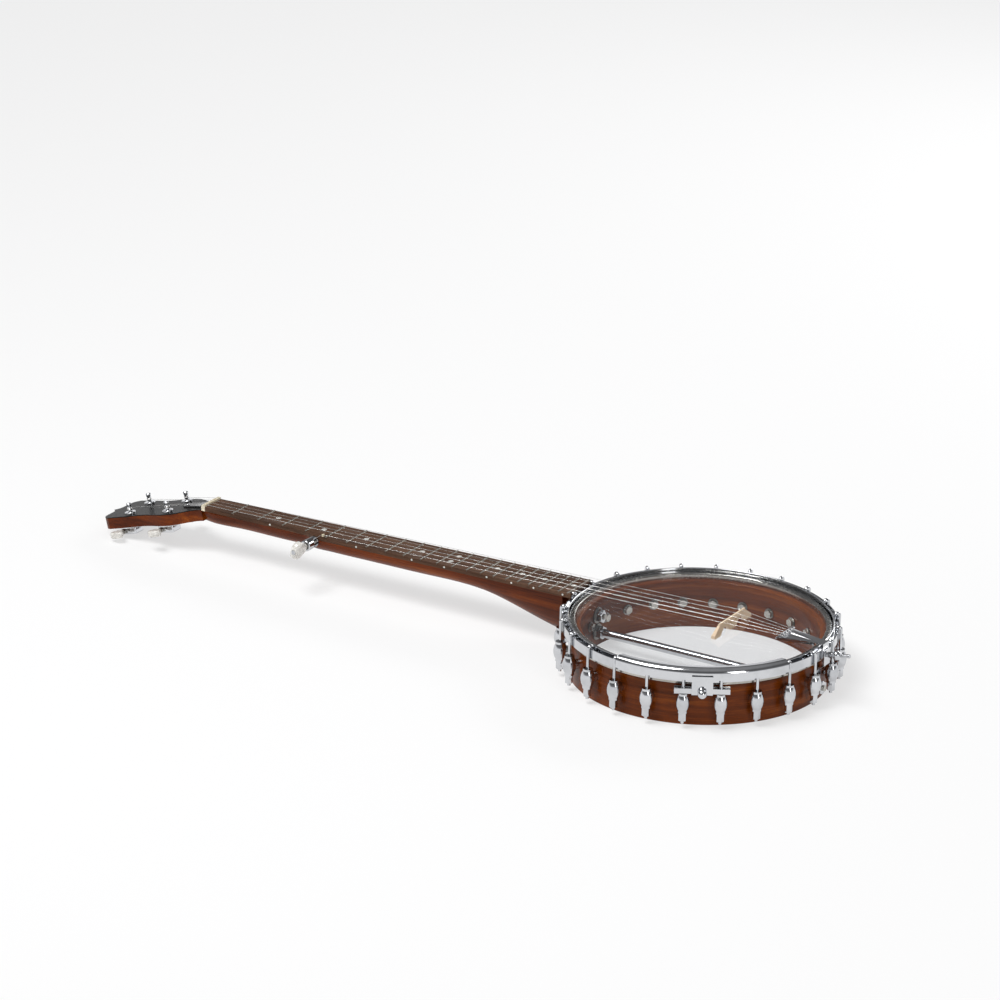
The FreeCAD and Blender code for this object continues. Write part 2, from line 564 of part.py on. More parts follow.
def make_tailpiece():
    top = TAIL_PLATE_TOP
    bottom = top - TAIL_PLATE_THICKNESS
    front = TAIL_FRONT_WIDTH / 2
    rear = TAIL_REAR_WIDTH / 2
    rear_x = HOOP_INNER - 2
    end = TAIL_TAB + TAIL_PLATE_THICKNESS
    plan = [(TAIL_FRONT, -front), (rear_x, -rear), (end, -rear),
            (end, rear), (rear_x, rear), (TAIL_FRONT, front)]
    plate = outline_face(plan, lambda x, y: vec(x, y, bottom)).extrude(vec(0, 0, TAIL_PLATE_THICKNESS))
    skirt_plan = plan[:2] + [plan[4], plan[5]]
    skirt_face = outline_face(skirt_plan, lambda x, y: vec(x, y, top - TAIL_FLANGE))
    skirt = skirt_face.extrude(vec(0, 0, TAIL_FLANGE))
    length = rear_x - TAIL_FRONT
    wall = TAIL_PLATE_THICKNESS
    slope = wall * math.hypot(1, (front - rear) / length)
    inside = front - slope - (front - rear) * wall / length
    hollow_plan = [(TAIL_FRONT + wall, -inside), (rear_x + 1, slope - rear),
                   (rear_x + 1, rear - slope), (TAIL_FRONT + wall, inside)]
    hollow = outline_face(hollow_plan, lambda x, y: vec(x, y, top - TAIL_FLANGE - 1))
    skirt = skirt.cut(hollow.extrude(vec(0, 0, TAIL_FLANGE + 1)))
    tab = block((TAIL_TAB, end), (-rear, rear), (TAIL_TAB_BOTTOM, top))
    bar = rod(TAIL_BAR_RADIUS, vec(TAIL_FRONT, -front, bottom), vec(TAIL_FRONT, front, bottom))
    body = joined([plate, skirt, tab, bar])
    pins = []
    for y in TAIL_YS:
        x = TAIL_FRONT + TAIL_PIN_SETBACK
        pins.append(rod(TAIL_PIN_RADIUS, vec(x, y, bottom), vec(x, y, top + TAIL_PIN_HEIGHT)))
        head_z = top + TAIL_PIN_HEIGHT
        pins.append(rod(TAIL_PIN_RADIUS * 1.5, vec(x, y, head_z - 0.7), vec(x, y, head_z)))
    hole = tail_bolt_frame(rod(TAIL_BOLT_RADIUS + BOLT_GAP, vec(-4, 0, 0), vec(8, 0, 0)))
    return joined([body] + pins).cut(hole)


def make_hanger():
    """A strap from the end bolt up the outside of the rim and clear of the tension hoop."""
    inner = RIM_RADIUS + SEAT_GAP
    outer = inner + HANGER_THICKNESS
    far = HANGER_X + HANGER_THICKNESS
    low = ROD_Z - ROD_NUT_FLATS / 2 - 2
    bend = FLESH_BOTTOM - 5
    path = [(inner, low), (outer, low), (outer, bend - 5), (far, bend + 3), (far, HANGER_TOP),
            (HANGER_X, HANGER_TOP), (HANGER_X, bend + 4), (inner, bend - 4)]
    strap = outline_face(path, lambda x, z: vec(x, -HANGER_WIDTH / 2, z)).extrude(vec(0, HANGER_WIDTH, 0))
    end_hole = rod(HEEL_BOLT_RADIUS + BOLT_GAP, vec(inner - 2, 0, ROD_Z), vec(outer + 2, 0, ROD_Z))
    bolt_hole = tail_bolt_frame(rod(TAIL_BOLT_RADIUS + BOLT_GAP, vec(-4, 0, 0), vec(8, 0, 0)))
    return strap.cut([end_hole, bolt_hole])


def make_tail_bolt():
    shank = rod(TAIL_BOLT_RADIUS, vec(-TAIL_BOLT_HEAD, 0, 0), vec(TAIL_BOLT_LENGTH, 0, 0))
    bolt = tail_bolt_frame(shank)
    head = block((TAIL_TAB - SEAT_GAP - TAIL_BOLT_HEAD, TAIL_TAB - SEAT_GAP), (-4, 4),
                 (TAIL_BOLT_Z - 3.5, TAIL_BOLT_Z + 3.5))
    limit = block((TAIL_TAB - SEAT_GAP - TAIL_BOLT_HEAD, TAIL_TAB + 2 * TAIL_BOLT_LENGTH), (-9, 9), (-60, 60))
    return joined([bolt, head]).common(limit)


def make_thumb_nut():
    start = HANGER_X + HANGER_THICKNESS - TAIL_TAB + 1.2
    neck_end = start + THUMB_NUT_NECK_LENGTH
    ball = Part.makeSphere(THUMB_NUT_RADIUS, vec(neck_end + THUMB_NUT_RADIUS * 0.8, 0, 0))
    neck = rod(THUMB_NUT_NECK, vec(start, 0, 0), vec(neck_end + 2, 0, 0))
    bore = rod(TAIL_BOLT_RADIUS + SEAT_GAP, vec(start - 1, 0, 0), vec(start + 40, 0, 0))
    return tail_bolt_frame(joined([ball, neck]).cut(bore))


# ---- Armrest, built at angle zero and turned to its place ----
ARMREST_SKIRT_OUTER = HOOK_CIRCLE + HOOK_RADIUS + ARMREST_GAP + ARMREST_SHEET
CROSS_INNER = HOOK_CIRCLE * math.cos(math.radians(BRACKET_STEP / 2)) + HOOK_RADIUS + SEAT_GAP
POST_INNER = ARMREST_SKIRT_OUTER + SEAT_GAP


def armrest_section(shrink):
    """Half of the armrest sheet's section, from its inner edge over the crest to its skirt."""
    outer = ARMREST_SKIRT_OUTER - shrink
    top = ARMREST_TOP - shrink
    crest = outer - 6.5 + shrink
    return [vec(ARMREST_INNER_RADIUS, 0, top - ARMREST_INNER_DROP), vec(crest, 0, top),
            vec(outer, 0, top - 6.5 + shrink), vec(outer, 0, ARMREST_SKIRT)]


def make_armrest_plate():
    edges = []
    outer = armrest_section(0)
    inner = armrest_section(ARMREST_SHEET)
    for start, crest, side, end in (outer, inner):
        radius = side.x - crest.x
        half_turn = math.pi / 4
        corner = crest + vec(radius * math.sin(half_turn), 0, radius * (math.cos(half_turn) - 1))
        bend = Part.Arc(crest, corner, side).toShape()
        edges += [Part.makeLine(start, crest), bend, Part.makeLine(side, end)]
    edges += [Part.makeLine(outer[0], inner[0]), Part.makeLine(outer[3], inner[3])]
    face = Part.Face(Part.Wire(Part.sortEdges(edges)[0]))
    sheet = turn(face, -ARMREST_SPAN / 2).revolve(ORIGIN, Z_AXIS, ARMREST_SPAN)
    return turn(sheet, ARMREST_ANGLE)


def make_armrest_post():
    half = ARMREST_POST_WIDTH / 2
    cross = ARMREST_CROSS_HEIGHT / 2
    strap = block((POST_INNER, POST_INNER + ARMREST_POST_THICKNESS), (-half, half),
                  (ARMREST_CROSS_Z - cross, ARMREST_SKIRT + 5))
    bar = block((CROSS_INNER, POST_INNER + ARMREST_POST_THICKNESS),
                (-ARMREST_CROSS_LENGTH / 2, ARMREST_CROSS_LENGTH / 2),
                (ARMREST_CROSS_Z - cross, ARMREST_CROSS_Z + cross))
    trim_x = (CROSS_INNER + ARMREST_POST_THICKNESS, POST_INNER + 5)
    trim = block(trim_x, (half, ARMREST_CROSS_LENGTH), (-60, 20))
    other = turn(trim, 180, X_AXIS, vec(0, 0, -20))
    hole = rod(ARMREST_SCREW_RADIUS + BOLT_GAP, vec(CROSS_INNER - 2, 0, ARMREST_CROSS_Z),
               vec(POST_INNER + 6, 0, ARMREST_CROSS_Z))
    return turn(joined([strap, bar]).cut([trim, other, hole]), ARMREST_ANGLE)


def make_armrest_clamp():
    outer = HOOK_CIRCLE * math.cos(math.radians(BRACKET_STEP / 2)) - HOOK_RADIUS - SEAT_GAP
    cross = ARMREST_CROSS_HEIGHT / 2
    long = ARMREST_CROSS_LENGTH / 2
    heights = (ARMREST_CROSS_Z - cross, ARMREST_CROSS_Z + cross)
    bar = block((outer - ARMREST_CLAMP_THICKNESS, outer), (-long, long), heights)
    ends = [vec(outer - 9, 0, ARMREST_CROSS_Z), vec(outer + 2, 0, ARMREST_CROSS_Z)]
    hole = rod(ARMREST_SCREW_RADIUS + SEAT_GAP, *ends)
    return turn(bar.cut(hole), ARMREST_ANGLE)


def make_armrest_screw():
    inner = HOOK_CIRCLE * math.cos(math.radians(BRACKET_STEP / 2)) - HOOK_RADIUS - ARMREST_CLAMP_THICKNESS
    face = POST_INNER + ARMREST_POST_THICKNESS + SEAT_GAP
    shank = rod(ARMREST_SCREW_RADIUS, vec(inner, 0, ARMREST_CROSS_Z), vec(face + 2, 0, ARMREST_CROSS_Z))
    knob = Part.makeSphere(ARMREST_KNOB_RADIUS, vec(face + ARMREST_KNOB_RADIUS * 0.8, 0, ARMREST_CROSS_Z))
    outside = block((face, face + 20), (-9, 9), (-60, 20))
    return turn(joined([shank, knob.common(outside)]), ARMREST_ANGLE)


# ---- Bridge ----
def make_bridge():
    half = BRIDGE_LENGTH / 2
    top = BRIDGE_HEIGHT - BRIDGE_STRIP
    half_top = BRIDGE_TOP_LENGTH / 2
    outline = [(-half, 0), (half, 0), (half, BRIDGE_SHOULDER), (half_top, top), (-half_top, top),
               (-half, BRIDGE_SHOULDER)]
    thick = BRIDGE_FOOT_THICKNESS / 2
    body = outline_face(outline, lambda y, z: vec(-thick, y, z)).extrude(vec(2 * thick, 0, 0))
    thin = BRIDGE_TOP_THICKNESS / 2
    wedge = [(-thick, 0), (thick, 0), (thin, BRIDGE_HEIGHT), (-thin, BRIDGE_HEIGHT)]
    body = body.common(outline_face(wedge, lambda x, z: vec(x, -half, z)).extrude(vec(0, 2 * half, 0)))
    cuts = []
    arch_inner = BRIDGE_FOOT_LENGTH / 2
    arch_outer = half - BRIDGE_FOOT_LENGTH
    width = arch_outer - arch_inner
    for side in (-1, 1):
        middle = side * (arch_inner + arch_outer) / 2
        start = vec(-9, middle - width / 2, -1)
        crown = vec(-9, middle, BRIDGE_ARCH_HEIGHT)
        end = vec(-9, middle + width / 2, -1)
        arch = Part.Wire([Part.Arc(start, crown, end).toShape(), Part.makeLine(end, start)])
        cuts.append(Part.Face(arch).extrude(vec(18, 0, 0)))
        window_y = side * arch_inner * 0.95
        window_z = BRIDGE_ARCH_HEIGHT + BRIDGE_WINDOW_RADIUS * 0.8
        cuts.append(rod(BRIDGE_WINDOW_RADIUS, vec(-9, window_y, window_z), vec(9, window_y, window_z)))
    return move(body.cut(cuts), vec(BRIDGE_X, 0, 0))


def make_bridge_top():
    low = BRIDGE_HEIGHT - BRIDGE_STRIP
    thin = BRIDGE_TOP_THICKNESS / 2
    long = BRIDGE_TOP_LENGTH / 2
    strip = block((-thin, thin), (-long, long), (low, BRIDGE_HEIGHT))
    notches = []
    for y, radius in zip(BRIDGE_YS, STRING_RADII):
        half = radius + 2 * SLOT_GAP
        depth = (BRIDGE_HEIGHT - BRIDGE_NOTCH, BRIDGE_HEIGHT + 1)
        notches.append(block((-5, 5), (y - half, y + half), depth))
    return move(strip.cut(notches), vec(BRIDGE_X, 0, 0))


# ---- Neck, in its own frame: x from the nut towards the pot, z up from the fingerboard's top ----
def treble_edge(u):
    return NUT_WIDTH / 2 + (BOARD_END_TREBLE - NUT_WIDTH / 2) * max(u, 0) / BOARD_LENGTH


def bass_edge(u):
    narrow = treble_edge(u)
    wide = BUMP_BASS + (BOARD_END_BASS - BUMP_BASS) * (u - BUMP_END) / (BOARD_LENGTH - BUMP_END)
    return -(narrow + (wide - narrow) * smooth((u - BUMP_START) / (BUMP_END - BUMP_START)))


def neck_depth(u):
    shaft = NECK_DEPTH_NUT + (NECK_DEPTH_BODY - NECK_DEPTH_NUT) * max(u, 0) / HEEL_START
    return shaft + (HEEL_DEPTH - shaft) * smooth((u - HEEL_START) / (BOARD_LENGTH - HEEL_START))


def neck_section(u):
    """The wood's outline across the neck: a level top and a rounded back, sharper at the heel."""
    treble = treble_edge(u)
    bass = bass_edge(u)
    centre = (treble + bass) / 2
    half = (treble - bass) / 2
    heel = max(u - HEEL_START, 0) / (BOARD_LENGTH - HEEL_START)
    power = 2 / (2.1 - 0.45 * smooth(heel))
    points = []
    steps = 16
    for k in range(steps + 1):
        angle = math.pi * k / steps
        c = math.cos(angle)
        y = centre + half * math.copysign(abs(c) ** power, c)
        points.append(vec(u, y, -BOARD_THICKNESS - neck_depth(u) * math.sin(angle) ** power))
    curve = Part.BSplineCurve()
    curve.interpolate(points)
    return Part.Wire([curve.toShape(), Part.makeLine(points[-1], points[0])])


def pot_cuts():
    """What the pot takes from the neck, in the pot's frame."""
    below = RIM_BOTTOM - 40
    seat = rod(RIM_RADIUS + SEAT_GAP, vec(0, 0, below), vec(0, 0, 40))
    hoop = rod(HOOP_OUTER + BOARD_GAP, vec(0, 0, FLESH_BOTTOM - BOARD_GAP), vec(0, 0, 40))
    pocket = rod(SHOE_OUTER + POCKET_GAP, vec(0, 0, below), vec(0, 0, 40))
    tongue = block((-SHOE_OUTER - 20, 0), (-HEEL_TONGUE / 2, HEEL_TONGUE / 2), (below - 1, 41))
    return [seat, hoop, pocket.cut(tongue)]


def headstock_outline():
    """The headstock's outline, from the nut round the tip and back, in its own frame."""
    points = [vec(-n, y, 0) for n, y in HEADSTOCK_SIDE]
    side = Part.BSplineCurve()
    side.interpolate(points)
    crest = Part.BSplineCurve()
    middle = [vec(-n, y, 0) for n, y in HEADSTOCK_CREST]
    crest.interpolate([points[-1]] + middle + [vec(-HEADSTOCK_LENGTH, 0, 0)])
    half = [side.toShape(), crest.toShape()]
    mirrored = [e.mirror(ORIGIN, Y_AXIS) for e in half]
    closing = Part.makeLine(points[0], vec(0, -HEADSTOCK_SIDE[0][1], 0))
    return Part.Face(Part.Wire(Part.sortEdges(half + mirrored + [closing])[0]))


def tuner_places():
    """(n, y, side) of each post: the treble side from the nut, then the bass side, in string order."""
    near, far = TUNER_ROWS
    return [(near, TUNER_OFFSET, 1), (far, TUNER_OFFSET, 1),
            (far, -TUNER_OFFSET, -1), (near, -TUNER_OFFSET, -1)]


def headstock_holes(radius):
    return [rod(radius, vec(-n, y, -60), vec(-n, y, 20)) for n, y, _ in tuner_places()]


def pilot_holes():
    """Holes in the headstock for the tuners' and the truss rod cover's screws."""
    radius = SMALL_SCREW_RADIUS + SEAT_GAP
    depth = SMALL_SCREW_LENGTH + 0.5
    front = [rod(radius, vec(-n, y, -depth), vec(-n, y, 1)) for n, y in cover_screws()]
    back = []
    for n, y, _ in tuner_places():
        for x, screw_y in plate_screws(n, y):
            low = vec(x, screw_y, HEADSTOCK_BACK - 1)
            back.append(rod(radius, low, low + vec(0, 0, depth + 1)))
    return front + back


def truss_pocket():
    """The opening in the headstock round the truss rod's nut, in the headstock's frame."""
    half = POCKET_WIDTH / 2
    return block((-COVER_START - POCKET_LENGTH, -COVER_START), (-half, half), (-POCKET_DEPTH, 5))


def peg_axis_rod(radius, start, end):
    """A rod on the fifth peg's axis, between two distances out from the bass edge, in the neck's frame."""
    edge = bass_edge(PEG_U)
    return rod(radius, vec(PEG_U, edge - start, -PEG_DROP), vec(PEG_U, edge - end, -PEG_DROP))


def neck_stations():
    """Where the neck's sections stand, closer together at the widening and up the heel."""
    stations = [-NUT_THICKNESS * 4, 0]
    stations += [BUMP_START * share for share in (0.3, 0.6, 0.87, 1)]
    stations += [BUMP_START + BUMP_REACH * share for share in (0.33, 0.67, 1, 1.4)]
    plain = HEEL_START - BUMP_END
    stations += [BUMP_END + plain * share for share in (0.16, 0.42, 0.72, 1)]
    stations += [HEEL_START + HEEL_REACH * share for share in (0.2, 0.38, 0.52, 0.64, 0.75, 0.85, 0.93)]
    return stations + [BOARD_LENGTH + 6]


def make_neck():
    shaft = Part.makeLoft([neck_section(u) for u in neck_stations()], True, False)
    plate = headstock_outline().extrude(vec(0, 0, -HEADSTOCK_WOOD))
    plate.translate(vec(0, 0, -VENEER))
    above = block((-HEADSTOCK_LENGTH - 20, 12), (-60, 60), (-VENEER, 60))
    over_nut = block((-NUT_THICKNESS, 60), (-60, 60), (-BOARD_THICKNESS, 60))
    headstock_trim = above.cut(put(over_nut, HEADSTOCK.inverse().multiply(NECK)))
    wood = put(shaft, NECK).fuse(put(plate, HEADSTOCK))
    wood = wood.cut([put(headstock_trim, HEADSTOCK), put(over_nut, NECK)])
    channel = block((-TRUSS_OVERHANG - 6, TRUSS_LENGTH + 2), (-TRUSS_RADIUS - 0.2, TRUSS_RADIUS + 0.2),
                    (-TRUSS_DROP - TRUSS_RADIUS - 0.2, 1))
    cuts = [put(channel, NECK), put(truss_pocket(), HEADSTOCK)]
    cuts += [put(hole, HEADSTOCK) for hole in headstock_holes(BUSHING_RADIUS + SEAT_GAP) + pilot_holes()]
    cuts.append(put(peg_axis_rod(PEG_SHANK_RADIUS + SEAT_GAP, -PEG_SHANK_LENGTH - 0.5, 6), NECK))
    bore = HEEL_BOLT_RADIUS + BOLT_GAP
    for z in (ROD_Z, HEEL_BOLT_UPPER_Z):
        cuts.append(rod(bore, vec(-RIM_RADIUS - HEEL_BOLT_DEPTH - 1, 0, z), vec(-RIM_RADIUS + 5, 0, z)))
    return wood.cut(cuts + pot_cuts())


def dot_places():
    """(distance from the nut, offset from the middle) of each position dot."""
    places = []
    for fret in DOT_FRETS:
        u = (fret_distance(fret - 1) + fret_distance(fret)) / 2
        middle = (treble_edge(u) + bass_edge(u)) / 2
        if fret == 12:
            places += [(u, middle - 8.5), (u, middle + 8.5)]
        else:
            places.append((u, middle))
    return places


def dots(radius, depth, side_radius, side_depth):
    """The dots on the fingerboard's face and along its bass edge."""
    shapes = [rod(radius, vec(u, y, -depth), vec(u, y, 0)) for u, y in dot_places()]
    for u in sorted({u for u, _ in dot_places()}):
        edge = bass_edge(u)
        z = -BOARD_THICKNESS / 2
        shapes.append(rod(side_radius, vec(u, edge + side_depth, z), vec(u, edge - INLAY_GAP, z)))
    return shapes


def make_fingerboard():
    steps = 10
    flare = [BUMP_START + (BUMP_END - BUMP_START) * k / steps for k in range(steps + 1)]
    bass = [(u, bass_edge(u)) for u in [0] + flare + [BOARD_LENGTH]]
    outline = [(0, treble_edge(0)), (BOARD_LENGTH, treble_edge(BOARD_LENGTH))] + bass[::-1]
    underside = outline_face(outline, lambda u, y: vec(u, y, -BOARD_THICKNESS))
    board = underside.extrude(vec(0, 0, BOARD_THICKNESS))
    slot = FRET_TANG / 2 + INLAY_GAP
    cuts = []
    for fret in range(1, FRET_COUNT + 1):
        u = fret_distance(fret)
        cuts.append(block((u - slot, u + slot), (-60, 60), (-FRET_TANG_DEPTH - 0.2, 1)))
    sizes = [DOT_RADIUS, DOT_DEPTH, SIDE_DOT_RADIUS, SIDE_DOT_DEPTH]
    cuts += dots(*[size + INLAY_GAP for size in sizes])
    cuts.append(peg_axis_rod(PEG_SHANK_RADIUS + SEAT_GAP, -PEG_SHANK_LENGTH - 0.5, 6))
    fifth_u = fret_distance(FIFTH_NUT_FRET) - FRET_WIDTH - FIFTH_NUT_RADIUS
    peg_foot = vec(fifth_u, fifth_nut_y(), -2.5)
    cuts.append(rod(FIFTH_NUT_RADIUS + INLAY_GAP, peg_foot, peg_foot + vec(0, 0, 4.5)))
    board = put(board.cut(cuts), NECK)
    hook_notches = [
        turn(rod(HOOK_RADIUS + BOARD_GAP, vec(HOOK_CIRCLE, 0, -60), vec(HOOK_CIRCLE, 0, 40)), angle)
        for angle in BRACKET_ANGLES if abs(angle - 180) < 2 * BRACKET_STEP
    ]
    return board.cut([pot_cuts()[0], pot_cuts()[1]] + hook_notches)


def make_frets():
    frets = []
    half = FRET_WIDTH / 2
    for fret in range(1, FRET_COUNT + 1):
        u = fret_distance(fret)
        low = bass_edge(u) + FRET_INSET
        high = treble_edge(u) - FRET_INSET
        start = vec(u - half, low, 0)
        crown = Part.Arc(start, vec(u, low, FRET_HEIGHT), vec(u + half, low, 0)).toShape()
        face = Part.Face(Part.Wire([crown, Part.makeLine(vec(u + half, low, 0), start)]))
        tang = block((u - FRET_TANG / 2, u + FRET_TANG / 2), (low, high), (-FRET_TANG_DEPTH, 0.2))
        frets.append(put(joined([face.extrude(vec(0, high - low, 0)), tang]), NECK))
    return frets


def make_nut():
    half = NUT_WIDTH / 2
    front = -SEAT_GAP
    body = block((-NUT_THICKNESS + SEAT_GAP, front), (-half, half), (-BOARD_THICKNESS, NUT_HEIGHT))
    high = [e for e in body.Edges if e.BoundBox.ZMin > NUT_HEIGHT - 0.01]
    top = [e for e in high if e.BoundBox.YLength > 1 and e.BoundBox.XMax < -1]
    body = body.makeFillet(1.2, top)
    slots = []
    for y, radius in zip(NUT_YS, STRING_RADII):
        gap = radius + SEAT_GAP
        slots.append(block((-NUT_THICKNESS - 1, 1), (y - gap, y + gap), (NUT_ACTION, NUT_HEIGHT + 1)))
    return put(body.cut(slots), NECK)


def make_truss_rod():
    z = -TRUSS_DROP
    bar = rod(TRUSS_RADIUS, vec(-TRUSS_OVERHANG, 0, z), vec(TRUSS_LENGTH, 0, z))
    nut = turn(hex_nut(TRUSS_NUT_FLATS, TRUSS_NUT_LENGTH, TRUSS_RADIUS + SEAT_GAP), 90, Z_AXIS)
    nut = move(turn(nut, 90, Y_AXIS), vec(-TRUSS_OVERHANG + 0.5, 0, z))
    return [put(bar, NECK), put(nut, NECK)]


def make_veneer():
    sheet = headstock_outline().extrude(vec(0, 0, -VENEER))
    over_nut = block((-NUT_THICKNESS, 60), (-60, 60), (-BOARD_THICKNESS, 60))
    sheet = sheet.cut(headstock_holes(BUSHING_RADIUS + SEAT_GAP) + pilot_holes() + [truss_pocket()])
    return put(sheet, HEADSTOCK).cut(put(over_nut, NECK))


def cover_screws():
    """Two screws at the cover's wide end and one at its tip."""
    wide = COVER_START + 2.8
    across = COVER_WIDTH / 2 - 3.1
    return [(wide, across), (wide, -across), (COVER_START + COVER_LENGTH - 4.8, 0)]


def make_truss_cover():
    half = COVER_WIDTH / 2
    start = -COVER_START + 1
    end = start - COVER_LENGTH
    waist = vec((start * 2 + end) / 3, half * 0.78, 0)
    right = Part.Arc(vec(start, half, 0), waist, vec(end, 3.5, 0)).toShape()
    tip = Part.Arc(vec(end, 3.5, 0), vec(end - 1.8, 0, 0), vec(end, -3.5, 0)).toShape()
    left = right.mirror(ORIGIN, Y_AXIS)
    base = Part.makeLine(vec(start, half, 0), vec(start, -half, 0))
    face = Part.Face(Part.Wire(Part.sortEdges([right, tip, left, base])[0]))
    plate = face.extrude(vec(0, 0, COVER_THICKNESS))
    holes = [rod(SMALL_SCREW_RADIUS + BOLT_GAP, vec(-n, y, -5), vec(-n, y, 5)) for n, y in cover_screws()]
    return put(plate.cut(holes), HEADSTOCK)


def small_screw(x, y, z, up=1):
    """A small round-headed screw whose head sits on z, pointing down (up=1) or up (up=-1)."""
    shank = rod(SMALL_SCREW_RADIUS, vec(x, y, z - up * SMALL_SCREW_LENGTH), vec(x, y, z + up * 0.3))
    dome = Part.makeSphere(SMALL_SCREW_HEAD, vec(x, y, z - up * SMALL_SCREW_HEAD * 0.45))
    side = (z + 0.02, z + 9) if up > 0 else (z - 9, z - 0.02)
    return joined([shank, dome.common(block((x - 9, x + 9), (y - 9, y + 9), side))])


def make_cover_screws():
    return [put(small_screw(-n, y, COVER_THICKNESS), HEADSTOCK) for n, y in cover_screws()]


# ---- Tuners, in the headstock's frame ----
def make_bushing(n, y):
    outer = rod(BUSHING_RADIUS, vec(-n, y, HEADSTOCK_BACK + 2), vec(-n, y, 0))
    flange = rod(BUSHING_FLANGE_RADIUS, vec(-n, y, 0), vec(-n, y, BUSHING_FLANGE_HEIGHT))
    top = [e for e in flange.Edges if e.BoundBox.ZMin > BUSHING_FLANGE_HEIGHT - 0.01]
    flange = flange.makeFillet(0.8, top)
    bore = rod(POST_RADIUS + RUNNING_GAP, vec(-n, y, HEADSTOCK_BACK), vec(-n, y, 9))
    return put(joined([outer, flange]).cut(bore), HEADSTOCK)


def housing_span(n):
    """The housing's two ends along the headstock, about a post at n; the worm is on the tip's side."""
    low = n - GEAR_RADIUS - HOUSING_GAP - HOUSING_WALL
    high = n + WORM_OFFSET + WORM_RADIUS + HOUSING_GAP + HOUSING_WALL
    return low, high


HOUSING_HALF = GEAR_RADIUS + HOUSING_GAP + HOUSING_WALL


def make_housing(n, y, side):
    low, high = housing_span(n)
    seat = HEADSTOCK_BACK - PLATE_THICKNESS
    bottom = seat - HOUSING_DEPTH
    shell = block((-high, -low), (y - HOUSING_HALF, y + HOUSING_HALF), (bottom, seat))
    rounds = [e for e in shell.Edges if e.BoundBox.ZMin < seat - 0.01]
    shell = shell.makeFillet(1.6, rounds)
    wall = HOUSING_WALL
    cavity = block((-high + wall, -low - wall), (y - HOUSING_HALF + wall, y + HOUSING_HALF - wall),
                   (bottom + wall, seat + 1))
    worm_x = -(n + WORM_OFFSET)
    inner = y - side * (HOUSING_HALF - 0.4)
    outer = y + side * (HOUSING_HALF + 3)
    bore = rod(SHAFT_RADIUS + RUNNING_GAP, vec(worm_x, inner, SHAFT_H), vec(worm_x, outer, SHAFT_H))
    return put(shell.cut([cavity, bore]), HEADSTOCK)


def plate_screws(n, y):
    low, high = housing_span(n)
    return [(-low + PLATE_EAR / 2, y), (-high - PLATE_EAR / 2, y)]


def make_base_plate(n, y):
    low, high = housing_span(n)
    sheet = block((-high - PLATE_EAR, -low + PLATE_EAR), (y - HOUSING_HALF, y + HOUSING_HALF),
                  (HEADSTOCK_BACK - PLATE_THICKNESS, HEADSTOCK_BACK))
    corners = [e for e in sheet.Edges if e.BoundBox.ZLength > PLATE_THICKNESS - 0.01]
    sheet = sheet.makeFillet(2.4, corners)
    radius = SMALL_SCREW_RADIUS + BOLT_GAP
    holes = [rod(radius, vec(x, hole_y, -60), vec(x, hole_y, 0)) for x, hole_y in plate_screws(n, y)]
    holes.append(rod(POST_RADIUS + RUNNING_GAP, vec(-n, y, -60), vec(-n, y, 0)))
    return put(sheet.cut(holes), HEADSTOCK)


def make_plate_screws(n, y):
    face = HEADSTOCK_BACK - PLATE_THICKNESS
    return [put(small_screw(x, screw_y, face, -1), HEADSTOCK) for x, screw_y in plate_screws(n, y)]


def make_post(n, y):
    """The string post with its hole, and the gear wheel fixed on its lower end."""
    low = HEADSTOCK_BACK - PLATE_THICKNESS - HOUSING_DEPTH + HOUSING_WALL + 0.5
    waist = POST_ABOVE - 7.5
    profile = [(0, low), (POST_RADIUS, low), (POST_RADIUS, waist - 2.6), (POST_WAIST, waist - 1.2),
               (POST_WAIST, waist + 3.6), (POST_RADIUS, waist + 5), (POST_RADIUS, POST_ABOVE - 0.8),
               (POST_RADIUS - 0.8, POST_ABOVE), (0, POST_ABOVE)]
    post = move(turned(profile), vec(-n, y, 0))
    hole_z = waist + 5.4
    hole = rod(POST_HOLE_RADIUS, vec(-n, y - 5, hole_z), vec(-n, y + 5, hole_z))
    gear = tube(POST_RADIUS + SEAT_GAP / 2, GEAR_RADIUS, vec(-n, y, SHAFT_H - GEAR_THICKNESS / 2),
                vec(-n, y, SHAFT_H + GEAR_THICKNESS / 2))
    gashes = []
    for k in range(GEAR_TEETH):
        gash = rod(0.55, vec(GEAR_RADIUS, 0, -9), vec(GEAR_RADIUS, 0, 9))
        gashes.append(move(turn(gash, 360.0 * (k + 0.5) / GEAR_TEETH), vec(-n, y, SHAFT_H)))
    return [put(post.cut(hole), HEADSTOCK), put(gear.cut(gashes), HEADSTOCK)]


def winding(core, wire, turns):
    """Windings of wire side by side round a core, as one turned solid standing about the origin."""
    start = -turns * wire
    edges = []
    for k in range(turns):
        low = vec(core + wire, 0, start + 2 * wire * k)
        middle = vec(core + 2 * wire, 0, start + wire * (2 * k + 1))
        high = vec(core + wire, 0, start + 2 * wire * (k + 1))
        edges.append(Part.Arc(low, middle, high).toShape())
    top = vec(core + wire, 0, -start)
    bottom = vec(core + wire, 0, start)
    inner = core + SLOT_GAP
    edges += Part.makePolygon([top, vec(inner, 0, -start), vec(inner, 0, start), bottom]).Edges
    return Part.Face(Part.Wire(Part.sortEdges(edges)[0])).revolve(ORIGIN, Z_AXIS, 360)


def make_post_winding(n, y, wire):
    coil = winding(POST_WAIST, wire, WINDING_TURNS)
    return put(move(coil, vec(-n, y, WINDING_HEIGHT)), HEADSTOCK)


def button_start(y, side):
    """Where a button begins, out from the housing."""
    return y + side * (HOUSING_HALF + SHAFT_REACH)


